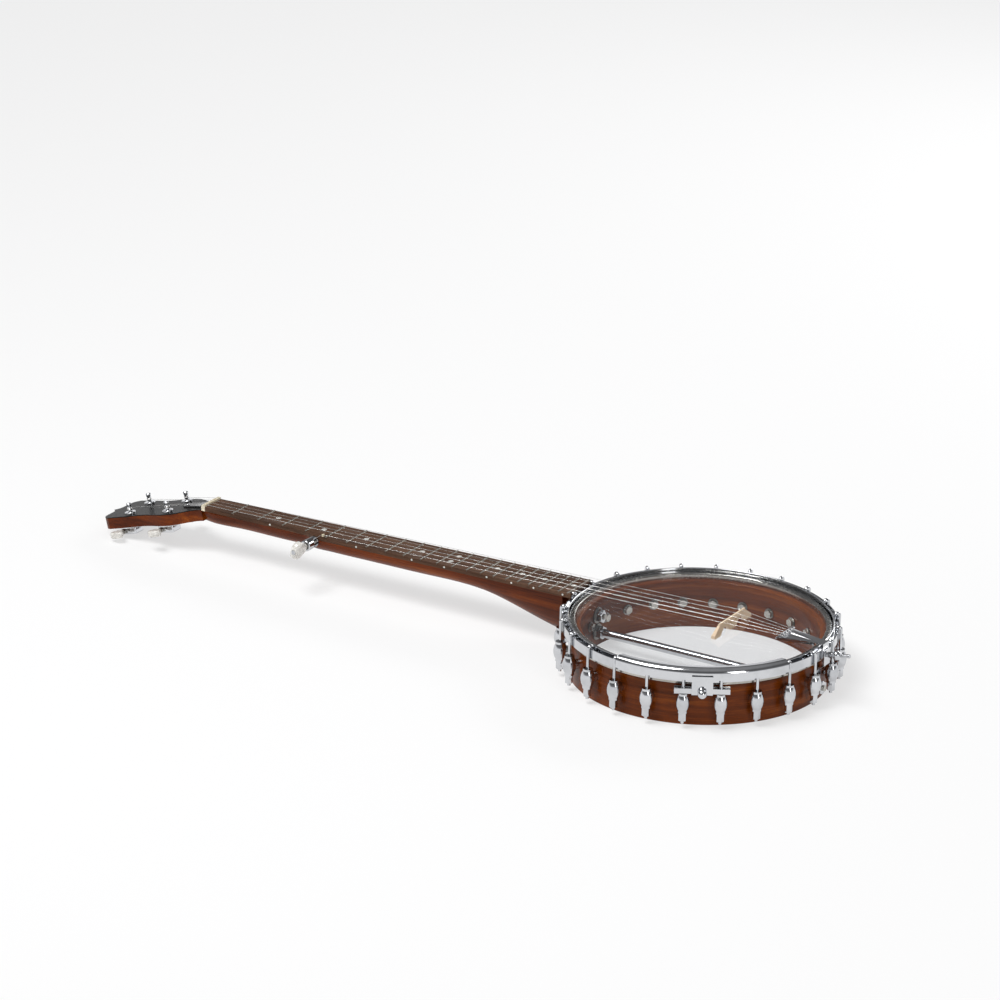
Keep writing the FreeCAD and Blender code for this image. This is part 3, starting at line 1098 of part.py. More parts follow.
def make_worm(n, y, side):
    """The worm and its shaft: end journal, worm, shaft, collar and the square into the button."""
    length = HOUSING_HALF
    inner = -(length - 0.8)
    half = WORM_LENGTH / 2
    reach = length + SHAFT_REACH
    profile = [(0, inner), (SHAFT_RADIUS, inner), (SHAFT_RADIUS, -half), (WORM_CORE, -half)]
    threads = 6
    pitch = WORM_LENGTH / threads
    for k in range(threads):
        start = -half + pitch * k
        profile += [(WORM_CORE, start + 0.1), (WORM_RADIUS, start + pitch * 0.35),
                    (WORM_RADIUS, start + pitch * 0.6), (WORM_CORE, start + pitch * 0.9)]
    collar = length + 0.4
    tip = reach + BUTTON_SOCKET - 0.3
    profile += [(WORM_CORE, half), (SHAFT_RADIUS, half), (SHAFT_RADIUS, collar), (COLLAR_RADIUS, collar),
                (COLLAR_RADIUS, collar + COLLAR_LENGTH), (SHAFT_RADIUS, collar + COLLAR_LENGTH),
                (SHAFT_RADIUS, tip), (0, tip)]
    shaft = turn(turned(profile), -90 * side, X_AXIS)
    return put(move(shaft, vec(-(n + WORM_OFFSET), y, SHAFT_H)), HEADSTOCK)


def button_body(width, reach, thickness, fillet):
    """A thumb button standing on the origin along +Z: an oval, wider past its middle, with rounded edges."""
    half = width / 2
    side = [(0, 0.43), (0.22, 0.62), (0.62, 1), (0.95, 0.62)]
    points = [(out, -across) for out, across in side] + [(1, 0)] + side[::-1]
    curve = Part.BSplineCurve()
    curve.interpolate([vec(across * half, -thickness / 2, out * reach) for out, across in points])
    closing = Part.makeLine(curve.EndPoint, curve.StartPoint)
    body = Part.Face(Part.Wire([curve.toShape(), closing])).extrude(vec(0, thickness, 0))
    flat = [e for e in body.Edges if e.BoundBox.YLength < 0.01]
    return body.makeFillet(fillet, flat)


def make_button(n, y, side):
    body = button_body(BUTTON_LENGTH, BUTTON_REACH, BUTTON_THICKNESS, BUTTON_THICKNESS * 0.34)
    socket = rod(SHAFT_RADIUS + SEAT_GAP / 2, vec(0, 0, -1), vec(0, 0, BUTTON_SOCKET))
    place = vec(-(n + WORM_OFFSET), button_start(y, side), SHAFT_H)
    return put(move(turn(body.cut(socket), -90 * side, X_AXIS), place), HEADSTOCK)


# ---- Fifth-string peg, in a frame of its own: z outwards from the neck's bass edge ----
PEG_SEAT_Y = bass_edge(PEG_U + PEG_FLANGE_RADIUS)
PEG = NECK.multiply(
    FreeCAD.Placement(vec(PEG_U, PEG_SEAT_Y - SEAT_GAP, -PEG_DROP), FreeCAD.Rotation(X_AXIS, 90))
)
PEG_CASE_START = PEG_FLANGE_THICKNESS + PEG_WINDOW
PEG_CASE_END = PEG_CASE_START + PEG_CASE_LENGTH
PEG_RING_RADIUS = PEG_SUN_RADIUS + 2 * PEG_PLANET_RADIUS + 2 * PEG_MESH_GAP
PEG_BUTTON_START = PEG_CASE_END + PEG_SHAFT_REACH


def peg_rod(radius, start, end):
    return rod(radius, vec(0, 0, start), vec(0, 0, end))


def make_peg_housing():
    """Shank, flange, two arms past the spool and the round gear case, in one casting."""
    shank = peg_rod(PEG_SHANK_RADIUS, -PEG_SHANK_LENGTH, 1)
    flange = peg_rod(PEG_FLANGE_RADIUS, 0, PEG_FLANGE_THICKNESS)
    case = peg_rod(PEG_CASE_RADIUS, PEG_CASE_START, PEG_CASE_END)
    outer_end = [e for e in case.Edges if e.BoundBox.ZMin > PEG_CASE_END - 0.01]
    case = case.makeFillet(1.4, outer_end)
    sleeve = peg_rod(PEG_FLANGE_RADIUS, 0, PEG_CASE_START + 1)
    sleeve = sleeve.cut(peg_rod(PEG_FLANGE_RADIUS - PEG_ARM_WALL, -1, PEG_CASE_START + 2))
    arms = sleeve.common(block((-PEG_ARM_WIDTH / 2, PEG_ARM_WIDTH / 2), (-20, 20), (-1, PEG_CASE_START + 2)))
    spool_bore = peg_rod(PEG_SPOOL_RADIUS + RUNNING_GAP, -3, PEG_CASE_START + 3)
    cavity_end = PEG_CASE_START + PEG_CASE_WALL + PEG_CARRIER_THICKNESS + PEG_PLANET_LENGTH + 1.2
    cavity = peg_rod(PEG_RING_RADIUS + PEG_MESH_GAP, PEG_CASE_START + PEG_CASE_WALL, cavity_end)
    shaft_bore = peg_rod(PEG_SUN_RADIUS + RUNNING_GAP, PEG_CASE_START, PEG_CASE_END + 2)
    return put(joined([shank, flange, case, arms]).cut([spool_bore, cavity, shaft_bore]), PEG)


def make_peg_post():
    """The spool with its carrier plate, and the planet wheels that turn round the sun with it."""
    carrier_start = PEG_CASE_START + PEG_CASE_WALL + 0.3
    carrier_end = carrier_start + PEG_CARRIER_THICKNESS
    waist = PEG_SPOOL_RADIUS - 0.6
    spool = turned([(0, -2.6), (PEG_SPOOL_RADIUS, -2.6), (PEG_SPOOL_RADIUS, PEG_FLANGE_THICKNESS + 1.6),
                    (waist, PEG_FLANGE_THICKNESS + 2.6), (waist, PEG_CASE_START - 2.6),
                    (PEG_SPOOL_RADIUS, PEG_CASE_START - 1.6), (PEG_SPOOL_RADIUS, carrier_start),
                    (0, carrier_start)])
    hole = rod(POST_HOLE_RADIUS, vec(-9, 0, PEG_CASE_START - 1.7), vec(9, 0, PEG_CASE_START - 1.7))
    orbit = PEG_SUN_RADIUS + PEG_PLANET_RADIUS + PEG_MESH_GAP
    carrier = peg_rod(orbit + 1.2, carrier_start - 0.2, carrier_end)
    planets = []
    for k in range(PEG_PLANET_COUNT):
        pin = rod(0.7, vec(orbit, 0, carrier_end - 0.8), vec(orbit, 0, carrier_end + PEG_PLANET_LENGTH))
        wheel = tube(0.7 + INLAY_GAP, PEG_PLANET_RADIUS, vec(orbit, 0, carrier_end + 0.1),
                     vec(orbit, 0, carrier_end + PEG_PLANET_LENGTH - 0.2))
        carrier = carrier.fuse(turn(pin, 360 * k / PEG_PLANET_COUNT))
        planets.append(put(turn(wheel, 360 * k / PEG_PLANET_COUNT), PEG))
    sun_end = peg_rod(PEG_SUN_RADIUS + 0.3, carrier_end - 0.5, carrier_end + 0.2)
    return [put(joined([spool, carrier]).cut([hole, sun_end]), PEG)] + planets


def make_peg_winding():
    coil = winding(PEG_SPOOL_RADIUS - 0.6, STRING_RADII[4], WINDING_TURNS)
    return put(move(coil, vec(0, 0, peg_winding_z())), PEG)


def peg_winding_z():
    return PEG_FLANGE_THICKNESS + PEG_WINDOW / 2


def make_peg_button():
    """The white button, with a recess for its screw in the outer end."""
    start = PEG_BUTTON_START
    end = start + PEG_BUTTON_LENGTH
    rounding = PEG_BUTTON_THICKNESS * 0.4
    body = button_body(2 * PEG_BUTTON_RADIUS, PEG_BUTTON_LENGTH, PEG_BUTTON_THICKNESS, rounding)
    body = move(turn(body, PEG_BUTTON_TURN), vec(0, 0, start))
    recess = peg_rod(PEG_SCREW_HEAD_RADIUS + BOLT_GAP, end - PEG_SCREW_HEAD, end + 5)
    screw_hole = peg_rod(SMALL_SCREW_RADIUS + SEAT_GAP, end - PEG_SCREW_HEAD - 7.3, end)
    shaft_bore = peg_rod(PEG_SUN_RADIUS + SEAT_GAP / 2, start - 1, start + PEG_SOCKET)
    return put(body.cut([recess, screw_hole, shaft_bore]), PEG)


def make_peg_shaft():
    start = PEG_CASE_START + PEG_CASE_WALL + 0.3 + PEG_CARRIER_THICKNESS + 0.3
    shaft = peg_rod(PEG_SUN_RADIUS, start, PEG_BUTTON_START + PEG_SOCKET - 0.3)
    collar = peg_rod(PEG_SUN_RADIUS + 1.6, PEG_CASE_END + 0.4, PEG_BUTTON_START - 0.2)
    return put(joined([shaft, collar]), PEG)


def make_peg_screw():
    end = PEG_BUTTON_START + PEG_BUTTON_LENGTH
    head = peg_rod(PEG_SCREW_HEAD_RADIUS, end - PEG_SCREW_HEAD + INLAY_GAP, end + 0.4)
    shank = peg_rod(SMALL_SCREW_RADIUS, end - PEG_SCREW_HEAD - 7, end - PEG_SCREW_HEAD + 0.4)
    slot = block((-0.4, 0.4), (-9, 9), (end - 0.4, end + 1))
    return put(joined([head, shank]).cut(slot), PEG)


# ---- Strings ----
def fifth_nut_y():
    """The fifth string's place across the neck at its nut."""
    edge = bass_edge(fret_distance(FIFTH_NUT_FRET))
    return edge + 2.0


def make_fifth_nut():
    """A small round post that the fifth string passes over, with a slot across its top."""
    u = fret_distance(FIFTH_NUT_FRET) - FRET_WIDTH - FIFTH_NUT_RADIUS
    y = fifth_nut_y()
    post = rod(FIFTH_NUT_RADIUS, vec(u, y, -2.5 + INLAY_GAP), vec(u, y, NUT_HEIGHT + FIFTH_NUT_RISE))
    half = STRING_RADII[4] + SEAT_GAP
    slot = block((u - 9, u + 9), (y - half, y + half), (NUT_ACTION + FIFTH_NUT_RISE, 9))
    return put(post.cut(slot), NECK)


def string_solid(points, radius):
    """A taut wire through its points, mitred at each bend."""
    path = Part.makePolygon(points)
    start = Part.Wire(Part.makeCircle(radius, points[0], points[1] - points[0]))
    solid = path.makePipeShell([start], True, False, 1)
    return solid.Solids[0] if solid.Solids else solid


def tail_loop(y, radius):
    """Points of a string's open loop round its tailpiece pin, up to where the loop closes."""
    centre = vec(TAIL_FRONT + TAIL_PIN_SETBACK, y, TAIL_PLATE_TOP + TAIL_PIN_HEIGHT * LOOP_HEIGHT)
    reach = TAIL_PIN_RADIUS + radius + LOOP_GAP
    points = []
    for k in range(LOOP_STEPS + 1):
        angle = math.radians(LOOP_OPEN + (360 - 2 * LOOP_OPEN) * k / LOOP_STEPS)
        points.append(centre + vec(-reach * math.cos(angle), reach * math.sin(angle), 0))
    points.append(centre - vec(reach * LOOP_NECK, 0, 0))
    return points


def make_string(k):
    radius = STRING_RADII[k]
    bridge = vec(BRIDGE_X, BRIDGE_YS[k], BRIDGE_HEIGHT - BRIDGE_NOTCH + radius + SLOT_GAP)
    if k < 4:
        over = NECK.multVec(vec(-NUT_THICKNESS, NUT_YS[k], NUT_ACTION + radius + SLOT_GAP))
        n, y, side = tuner_places()[k]
        reach = POST_WAIST + radius
        end = HEADSTOCK.multVec(vec(-n + reach * 0.6 + 0.6, y - side * (reach + 0.45), WINDING_HEIGHT))
    else:
        u = fret_distance(FIFTH_NUT_FRET) - FRET_WIDTH - FIFTH_NUT_RADIUS
        behind = u - FIFTH_NUT_RADIUS - radius
        over = NECK.multVec(vec(behind, fifth_nut_y(), NUT_ACTION + FIFTH_NUT_RISE + radius + SLOT_GAP))
        reach = PEG_SPOOL_RADIUS - 0.6 + 2 * radius
        end = PEG.multVec(vec(1.2, reach + radius + 0.35, peg_winding_z()))
    return string_solid(tail_loop(TAIL_YS[k], radius) + [bridge, over, end], radius)


def make_dots():
    return [put(dot, NECK) for dot in dots(DOT_RADIUS, DOT_DEPTH, SIDE_DOT_RADIUS, SIDE_DOT_DEPTH)]


# ---- Everything, by node name ----
def build_nodes():
    nodes = {
        "rim_shell": [make_rim()],
        "tone_ring": [make_tone_ring()],
        "drum_head": [make_head()],
        "flesh_hoop": [make_flesh_hoop()],
        "tension_hoop": [make_tension_hoop()],
        "bracket_hooks": ring_of(make_hook()),
        "bracket_shoes": ring_of(make_shoe()),
        "bracket_nuts": ring_of(make_bracket_nut()),
        "shoe_bolts": ring_of(make_shoe_bolt()),
        "pot_washers": make_washers(),
        "coordinator_rod": [make_coordinator_rod()],
        "hanger_bolts": make_hanger_bolts(),
        "rod_nuts": make_rod_nuts(),
        "tailpiece_body": [make_tailpiece()],
        "tailpiece_hanger": [make_hanger()],
        "tailpiece_bolt": [make_tail_bolt()],
        "tailpiece_thumb_nut": [make_thumb_nut()],
        "armrest_plate": [make_armrest_plate()],
        "armrest_post": [make_armrest_post()],
        "armrest_clamp": [make_armrest_clamp()],
        "armrest_screw": [make_armrest_screw()],
        "bridge": [make_bridge()],
        "bridge_top": [make_bridge_top()],
        "neck": [make_neck()],
        "fingerboard": [make_fingerboard()],
        "frets": make_frets(),
        "position_dots": make_dots(),
        "nut": [make_nut()],
        "truss_rod": make_truss_rod(),
        "headstock_veneer": [make_veneer()],
        "truss_rod_cover": [make_truss_cover()],
        "truss_cover_screws": make_cover_screws(),
        "fifth_string_nut": [make_fifth_nut()],
        "strings": [make_string(k) for k in range(5)],
        "fifth_peg_housing": [make_peg_housing()],
        "fifth_peg_post": make_peg_post(),
        "fifth_peg_winding": [make_peg_winding()],
        "fifth_peg_shaft": [make_peg_shaft()],
        "fifth_peg_button": [make_peg_button()],
        "fifth_peg_screw": [make_peg_screw()],
    }
    places = tuner_places()
    nodes["tuner_bushings"] = [make_bushing(n, y) for n, y, _ in places]
    nodes["tuner_housings"] = [make_housing(n, y, side) for n, y, side in places]
    nodes["tuner_base_plates"] = [make_base_plate(n, y) for n, y, _ in places]
    nodes["tuner_screws"] = [screw for n, y, _ in places for screw in make_plate_screws(n, y)]
    for k, (n, y, side) in enumerate(places):
        nodes[f"tuner_post_{k + 1}"] = make_post(n, y)
        nodes[f"tuner_winding_{k + 1}"] = [make_post_winding(n, y, STRING_RADII[k])]
        nodes[f"tuner_worm_{k + 1}"] = [make_worm(n, y, side)]
        nodes[f"tuner_button_{k + 1}"] = [make_button(n, y, side)]
    return nodes


def export(nodes):
    """Puts the origin at the centre of the box's underside, and writes one file a node."""
    os.makedirs("parts", exist_ok=True)
    everything = Part.makeCompound([solid for solids in nodes.values() for solid in solids])
    whole = everything.optimalBoundingBox(False)
    shift = vec(-(whole.XMin + whole.XMax) / 2, -(whole.YMin + whole.YMax) / 2, -whole.ZMin)
    for name, solids in nodes.items():
        moved = [move(solid, shift) for solid in solids]
        shape = moved[0] if len(moved) == 1 else Part.makeCompound(moved)
        shape.exportStep(f"parts/{name}.step")
    print(f"{len(nodes)} nodes, origin moved by {shift.x:.4f} {shift.y:.4f} {shift.z:.4f}")


export(build_nodes())
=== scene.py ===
import bpy
import bmesh
import json
import math
from mathutils import Matrix, Vector


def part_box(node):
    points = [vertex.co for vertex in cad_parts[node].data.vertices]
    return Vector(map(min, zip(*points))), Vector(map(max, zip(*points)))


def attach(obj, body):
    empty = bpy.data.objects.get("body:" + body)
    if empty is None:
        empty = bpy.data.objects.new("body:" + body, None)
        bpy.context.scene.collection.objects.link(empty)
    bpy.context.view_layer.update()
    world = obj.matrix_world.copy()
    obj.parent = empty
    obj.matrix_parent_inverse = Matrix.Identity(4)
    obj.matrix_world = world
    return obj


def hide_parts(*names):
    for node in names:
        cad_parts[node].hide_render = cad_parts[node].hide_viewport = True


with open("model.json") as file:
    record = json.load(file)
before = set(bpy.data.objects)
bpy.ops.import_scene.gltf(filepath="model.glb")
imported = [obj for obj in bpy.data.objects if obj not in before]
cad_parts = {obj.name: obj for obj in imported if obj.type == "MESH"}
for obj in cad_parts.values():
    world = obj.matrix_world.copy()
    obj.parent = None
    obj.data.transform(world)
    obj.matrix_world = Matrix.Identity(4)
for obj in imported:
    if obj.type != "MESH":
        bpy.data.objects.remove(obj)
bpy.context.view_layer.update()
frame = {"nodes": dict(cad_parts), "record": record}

# An open-back banjo. Everything is in metres, in the CAD's own frame.
NODES = frame["nodes"]
SLOTS = {part["node"]: part["material_slot"] for part in frame["record"]["subparts"]}
HOOP_LOW, HOOP_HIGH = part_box("tension_hoop")
POT_X = (HOOP_LOW.x + HOOP_HIGH.x) / 2
HEAD_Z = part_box("drum_head")[1].z


def show(obj):
    bpy.context.scene.collection.objects.link(obj)
    return obj


# ---- Camera ----
SENSOR_MM, LENS_MM = 36.0, 162.04
AZIMUTH, ELEVATION, ROLL = math.radians(31.15), math.radians(20.96), math.radians(1.11)
DISTANCE = 4.8237
TARGET = Vector((POT_X - 0.23119, -0.03349, HEAD_Z + 0.09653))


def place_camera():
    data = bpy.data.cameras.new("camera")
    data.sensor_width = SENSOR_MM
    data.lens = LENS_MM
    data.clip_start, data.clip_end = 0.1, 60.0
    camera = show(bpy.data.objects.new("camera", data))
    flat = math.cos(ELEVATION)
    back = Vector((math.sin(AZIMUTH) * flat, -math.cos(AZIMUTH) * flat, math.sin(ELEVATION)))
    side = (-back).cross(Vector((0, 0, 1))).normalized()
    up = side.cross(-back)
    right = side * math.cos(ROLL) + up * math.sin(ROLL)
    top = up * math.cos(ROLL) - side * math.sin(ROLL)
    turn = Matrix((right, top, back)).transposed().to_4x4()
    camera.matrix_world = Matrix.Translation(TARGET + back * DISTANCE) @ turn
    bpy.context.scene.camera = camera


# ---- Node materials ----
GRAIN_STRETCH = 0.045               # how far the grain is drawn out along its length
WOOD_SPECULAR = 0.06                # the lacquer's coat gives the shine, so the wood has little
ARC_RADIUS = 0.135                  # rolls the rim out to about its true length
GLUE_RADIUS = 0.1251                # one glue line of the rim
PLY = 0.00325                       # and the thickness of its plies
WINDING_SCALE = 1400.0              # turns of the wound string


class Nodes:
    """The node tree of a material or world, with short names for the nodes used here."""

    def __init__(self, owner):
        owner.use_nodes = True
        self.owner = owner
        self.tree = owner.node_tree
        self.tree.nodes.clear()

    def put(self, socket, value):
        if isinstance(value, bpy.types.NodeSocket):
            self.tree.links.new(value, socket)
        else:
            socket.default_value = value

    def add(self, kind, inputs=(), **settings):
        node = self.tree.nodes.new(kind)
        for key, value in settings.items():
            setattr(node, key, value)
        for key, value in dict(inputs).items():
            self.put(node.inputs[key], value)
        return node

    def place(self, scale=(1, 1, 1), shift=(0, 0, 0)):
        """Where a point is in the object's own frame, scaled."""
        at = self.add("ShaderNodeTexCoord").outputs["Object"]
        return self.add(
            "ShaderNodeMapping", {"Vector": at, "Scale": scale, "Location": shift}
        ).outputs[0]

    def around(self, centre_x):
        """The same, rolled out round an upright axis: (arc length, height, radius), and the radius."""
        at = self.add("ShaderNodeTexCoord").outputs["Object"]
        xyz = self.add("ShaderNodeSeparateXYZ", {"Vector": at})
        x, y = self.math("SUBTRACT", xyz.outputs[0], centre_x), xyz.outputs[1]
        square = self.math("ADD", self.math("MULTIPLY", x, x), self.math("MULTIPLY", y, y))
        radius = self.math("SQRT", square)
        arc = self.math("MULTIPLY", self.math("ARCTAN2", y, x), ARC_RADIUS)
        rolled = self.add("ShaderNodeCombineXYZ", {0: arc, 1: xyz.outputs[2], 2: radius})
        return rolled.outputs[0], radius

    def math(self, operation, a, b=0.0):
        return self.add("ShaderNodeMath", {0: a, 1: b}, operation=operation).outputs[0]

    def noise(self, at, scale, detail, rough, twist=0.0):
        return self.add(
            "ShaderNodeTexNoise",
            {"Vector": at, "Scale": scale, "Detail": detail, "Roughness": rough, "Distortion": twist},
        ).outputs[0]

    def spread(self, value, low, high, to_low=0.0, to_high=1.0):
        """Maps a range of a value onto another, clamped."""
        return self.add(
            "ShaderNodeMapRange", {0: value, 1: low, 2: high, 3: to_low, 4: to_high}
        ).outputs[0]

    def ramp(self, value, stops):
        node = self.add("ShaderNodeValToRGB", {0: value})
        elements = node.color_ramp.elements
        while len(elements) < len(stops):
            elements.new(0.5)
        for element, (at, colour) in zip(elements, stops):
            element.position = at
            element.color = (*colour, 1)
        return node.outputs[0]

    def mix(self, share, under, tone):
        """A share of one tone laid over a colour."""
        node = self.add("ShaderNodeMix", data_type="RGBA")
        self.put(node.inputs[0], share)
        self.put(node.inputs[6], under)
        self.put(node.inputs[7], (*tone, 1))
        return node.outputs[2]

    def bump(self, height, strength, distance):
        return self.add(
            "ShaderNodeBump", {"Height": height, "Strength": strength, "Distance": distance}
        ).outputs[0]

    def finish(self, shader):
        self.add("ShaderNodeOutputMaterial", {"Surface": shader})
        return self.owner

    def principled(self, **inputs):
        """The finished material from Principled sockets, named with _ for each space."""
        named = {key.replace("_", " "): value for key, value in inputs.items()}
        return self.finish(self.add("ShaderNodeBsdfPrincipled", named).outputs[0])


def surface(name):
    return Nodes(bpy.data.materials.new(name))


def linear(r, g, b):
    """An sRGB colour of 0 to 255 in the renderer's linear values."""
    shares = (r / 255, g / 255, b / 255)
    return tuple(c / 12.92 if c <= 0.04045 else ((c + 0.055) / 1.055) ** 2.4 for c in shares)


def metal(name, dark, light, rough_low, rough_high, smudge=28.0, scratch=0.03):
    """Polished or brushed metal with cloudy smudges and fine scratches."""
    s = surface(name)
    cloud = s.noise(s.place(), smudge, 5.0, 0.6)
    fine = s.noise(s.place((1, 1, 1), (3, 1, 2)), 900.0, 3.0, 0.7)
    wear = s.math("ADD", s.math("MULTIPLY", cloud, 0.7), s.math("MULTIPLY", fine, 0.3))
    return s.principled(
        Base_Color=s.ramp(cloud, [(0.32, dark), (0.62, light)]), Metallic=1.0,
        Roughness=s.spread(wear, 0.3, 0.7, rough_low, rough_high),
        Normal=s.bump(fine, scratch, 0.00005),
    )


def wood(name, tones, along, rough=(0.28, 0.4), coat=0.2, coat_rough=0.08, pores=0.35, streak=90.0,
         pore_tone=(0.02, 0.01, 0.006), bump=0.08):
    """Grain that runs along x or y, or round the pot in glued plies when along is 'pot'."""
    s = surface(name)
    if along == "pot":
        at, radius = s.around(POT_X)
        stretch = (GRAIN_STRETCH, 1, 0.6)
    else:
        at = s.place()
        stretch = (GRAIN_STRETCH, 1, 1) if along == "x" else (1, GRAIN_STRETCH, 1)
    at = s.add("ShaderNodeMapping", {"Vector": at, "Scale": stretch}).outputs[0]
    broad = s.noise(at, streak, 5.0, 0.55, 0.4)
    fine = s.noise(at, streak * 9, 3.0, 0.6)
    pore = s.noise(at, streak * 22, 2.0, 0.5)
    cloud = s.noise(s.place(), 9.0, 3.0, 0.5)
    grain = s.math("ADD", s.math("MULTIPLY", broad, 0.72), s.math("MULTIPLY", fine, 0.28))
    colour = s.ramp(grain, [(0.30, tones[0]), (0.50, tones[1]), (0.68, tones[2])])
    colour = s.mix(s.spread(cloud, 0.35, 0.7, 0.0, 0.35), colour, tones[0])
    colour = s.mix(s.spread(pore, 0.60, 0.68, 0.0, pores), colour, pore_tone)
    if along == "pot":
        ply = s.math("FRACT", s.math("MULTIPLY", s.math("SUBTRACT", radius, GLUE_RADIUS), 1 / PLY))
        glue = s.spread(s.math("ABSOLUTE", s.math("SUBTRACT", ply, 0.5)), 0.46, 0.5, 0.0, 0.75)
        colour = s.mix(glue, colour, tones[0])
    relief = s.math("SUBTRACT", fine, s.math("MULTIPLY", s.spread(pore, 0.6, 0.68), 0.8))
    return s.principled(
        Base_Color=colour, Roughness=s.spread(fine, 0.3, 0.7, *rough),
        Normal=s.bump(relief, bump, 0.0001),
        Coat_Weight=coat, Coat_Roughness=coat_rough, Specular_IOR_Level=WOOD_SPECULAR,
    )


def pearl(name, tones, scale):
    """Mother-of-pearl, real or moulded: swirled tones under a light coat."""
    s = surface(name)
    at = s.place()
    swirl = s.noise(at, scale, 4.0, 0.6, 2.2)
    flake = s.add("ShaderNodeTexVoronoi", {"Vector": at, "Scale": scale * 2.2}).outputs["Distance"]
    value = s.math("ADD", s.math("MULTIPLY", swirl, 0.75), s.math("MULTIPLY", flake, 0.35))
    return s.principled(
        Base_Color=s.ramp(value, [(0.25, tones[0]), (0.5, tones[1]), (0.72, tones[2])]),
        Roughness=s.spread(swirl, 0.3, 0.7, 0.22, 0.36), Coat_Weight=0.5, Coat_Roughness=0.04,
        Normal=s.bump(swirl, 0.04, 0.0001),
        Subsurface_Weight=0.08, Subsurface_Radius=(0.002, 0.002, 0.002),
    )


def bone(name):
    s = surface(name)
    cloud = s.noise(s.place((1, 0.3, 1)), 160.0, 4.0, 0.6)
    return s.principled(
        Base_Color=s.ramp(cloud, [(0.3, linear(196, 182, 152)), (0.6, linear(226, 216, 192))]),
        Roughness=s.spread(cloud, 0.3, 0.7, 0.28, 0.42), Coat_Weight=0.3, Coat_Roughness=0.1,
        Normal=s.bump(cloud, 0.05, 0.0001),
        Subsurface_Weight=0.1, Subsurface_Radius=(0.002, 0.0015, 0.001),
    )


def plastic(name, dark, light, rough_low, rough_high):
    s = surface(name)
    cloud = s.noise(s.place(), 120.0, 4.0, 0.6)
    return s.principled(
        Base_Color=s.ramp(cloud, [(0.3, dark), (0.65, light)]),
        Roughness=s.spread(cloud, 0.3, 0.7, rough_low, rough_high),
        Coat_Weight=0.5, Coat_Roughness=0.05, Normal=s.bump(cloud, 0.03, 0.0001),
    )


def film(name):
    """The clear drum head: light passes straight through, and it mirrors more at a low angle."""
    s = surface(name)
    haze = s.noise(s.place((1, 1, 0.2)), 14.0, 5.0, 0.6, 0.8)
    facing = s.add("ShaderNodeLayerWeight", {"Blend": 0.5}).outputs["Facing"]
    mirror = s.math("ADD", 0.03, s.math("MULTIPLY", s.math("POWER", facing, 5.0), 0.75))
    share = s.math("ADD", mirror, s.spread(haze, 0.45, 0.75, 0.0, 0.015))
    clear = s.add("ShaderNodeBsdfTransparent", {"Color": (0.975, 0.98, 0.985, 1)}).outputs[0]
    rough = s.spread(haze, 0.3, 0.7, 0.02, 0.08)
    gloss = s.add(
        "ShaderNodeBsdfPrincipled",
        {"Base Color": (0.9, 0.92, 0.95, 1), "Metallic": 1.0, "Roughness": rough},
    ).outputs[0]
    return s.finish(s.add("ShaderNodeMixShader", {0: share, 1: clear, 2: gloss}).outputs[0])


def wound(name):
    """Fine wire wound round a core, for the fourth string's winding on its post, with painted shade
    darkening the grooves between the turns.
    """
    s = surface(name)
    turn = s.add(
        "ShaderNodeTexWave", {"Vector": s.place(), "Scale": WINDING_SCALE}, bands_direction="X"
    ).outputs[1]
    # Painted shade: the base colour goes dark between the turns of wire, where the grooves lie in shade;
    # the bump gives the real relief.
    return s.principled(
        Base_Color=s.ramp(turn, [(0.1, (0.25, 0.24, 0.23)), (0.6, (0.75, 0.74, 0.72))]), Metallic=1.0,
        Roughness=s.spread(turn, 0.0, 1.0, 0.35, 0.2), Normal=s.bump(turn, 0.3, 0.00005),
    )


MATERIALS = {
    "chrome": metal("chrome", (0.50, 0.51, 0.53), (0.64, 0.65, 0.67), 0.03, 0.11),
    "nickel_steel": metal(
        "nickel_steel", (0.33, 0.31, 0.28), (0.52, 0.50, 0.46), 0.18, 0.32, 60.0, 0.08
    ),
    "rim_wood": wood("rim_wood", [linear(60, 22, 2), linear(116, 52, 8), linear(160, 84, 18)], "pot"),
    "neck_wood": wood("neck_wood", [linear(56, 19, 2), linear(106, 44, 6), linear(148, 74, 14)], "x"),
    "rosewood": wood(
        "rosewood", [linear(50, 34, 26), linear(88, 64, 50), linear(126, 96, 78)], "x",
        rough=(0.30, 0.48), coat=0.0, coat_rough=0.1, pores=0.7, streak=110.0,
        pore_tone=(0.012, 0.007, 0.005), bump=0.25,
    ),
    "maple": wood(
        "maple", [linear(204, 176, 144), linear(234, 212, 184), linear(246, 230, 206)], "y",
        rough=(0.34, 0.46), coat=0.25, coat_rough=0.2, pores=0.25, streak=160.0,
        pore_tone=linear(140, 108, 70),
    ),
    "bone": bone("bone"),
    "pearl": pearl("pearl", [linear(150, 162, 160), linear(202, 206, 200), linear(228, 222, 214)], 260.0),
    "clear_film": film("clear_film"),
    "black_veneer": wood(
        "black_veneer", [linear(9, 8, 8), linear(15, 12, 11), linear(26, 20, 18)], "x",
        rough=(0.34, 0.46), coat=0.15, coat_rough=0.1, pores=0.2, streak=120.0,
    ),
    "black_plastic": plastic("black_plastic", linear(12, 12, 13), linear(24, 24, 25), 0.2, 0.32),
    # Painted shade: the fret wire is toned far darker than bright fret metal is, standing in for the
    # shade and dark reflections on the frets.
    "fret_wire_shaded": metal("fret_wire_shaded", (0.15, 0.14, 0.12), (0.26, 0.24, 0.21), 0.28, 0.4, 60.0, 0.05),
    "washer": metal("washer", (0.16, 0.15, 0.14), (0.28, 0.27, 0.25), 0.3, 0.42, 60.0, 0.05),
    "string_steel": metal(
        "string_steel", (0.72, 0.71, 0.69), (0.90, 0.89, 0.87), 0.2, 0.34, 90.0, 0.02
    ),
    "wound": wound("wound"),
    "button_white": pearl(
        "button_white", [linear(188, 185, 178), linear(210, 207, 201), linear(229, 227, 221)], 150.0
    ),
}

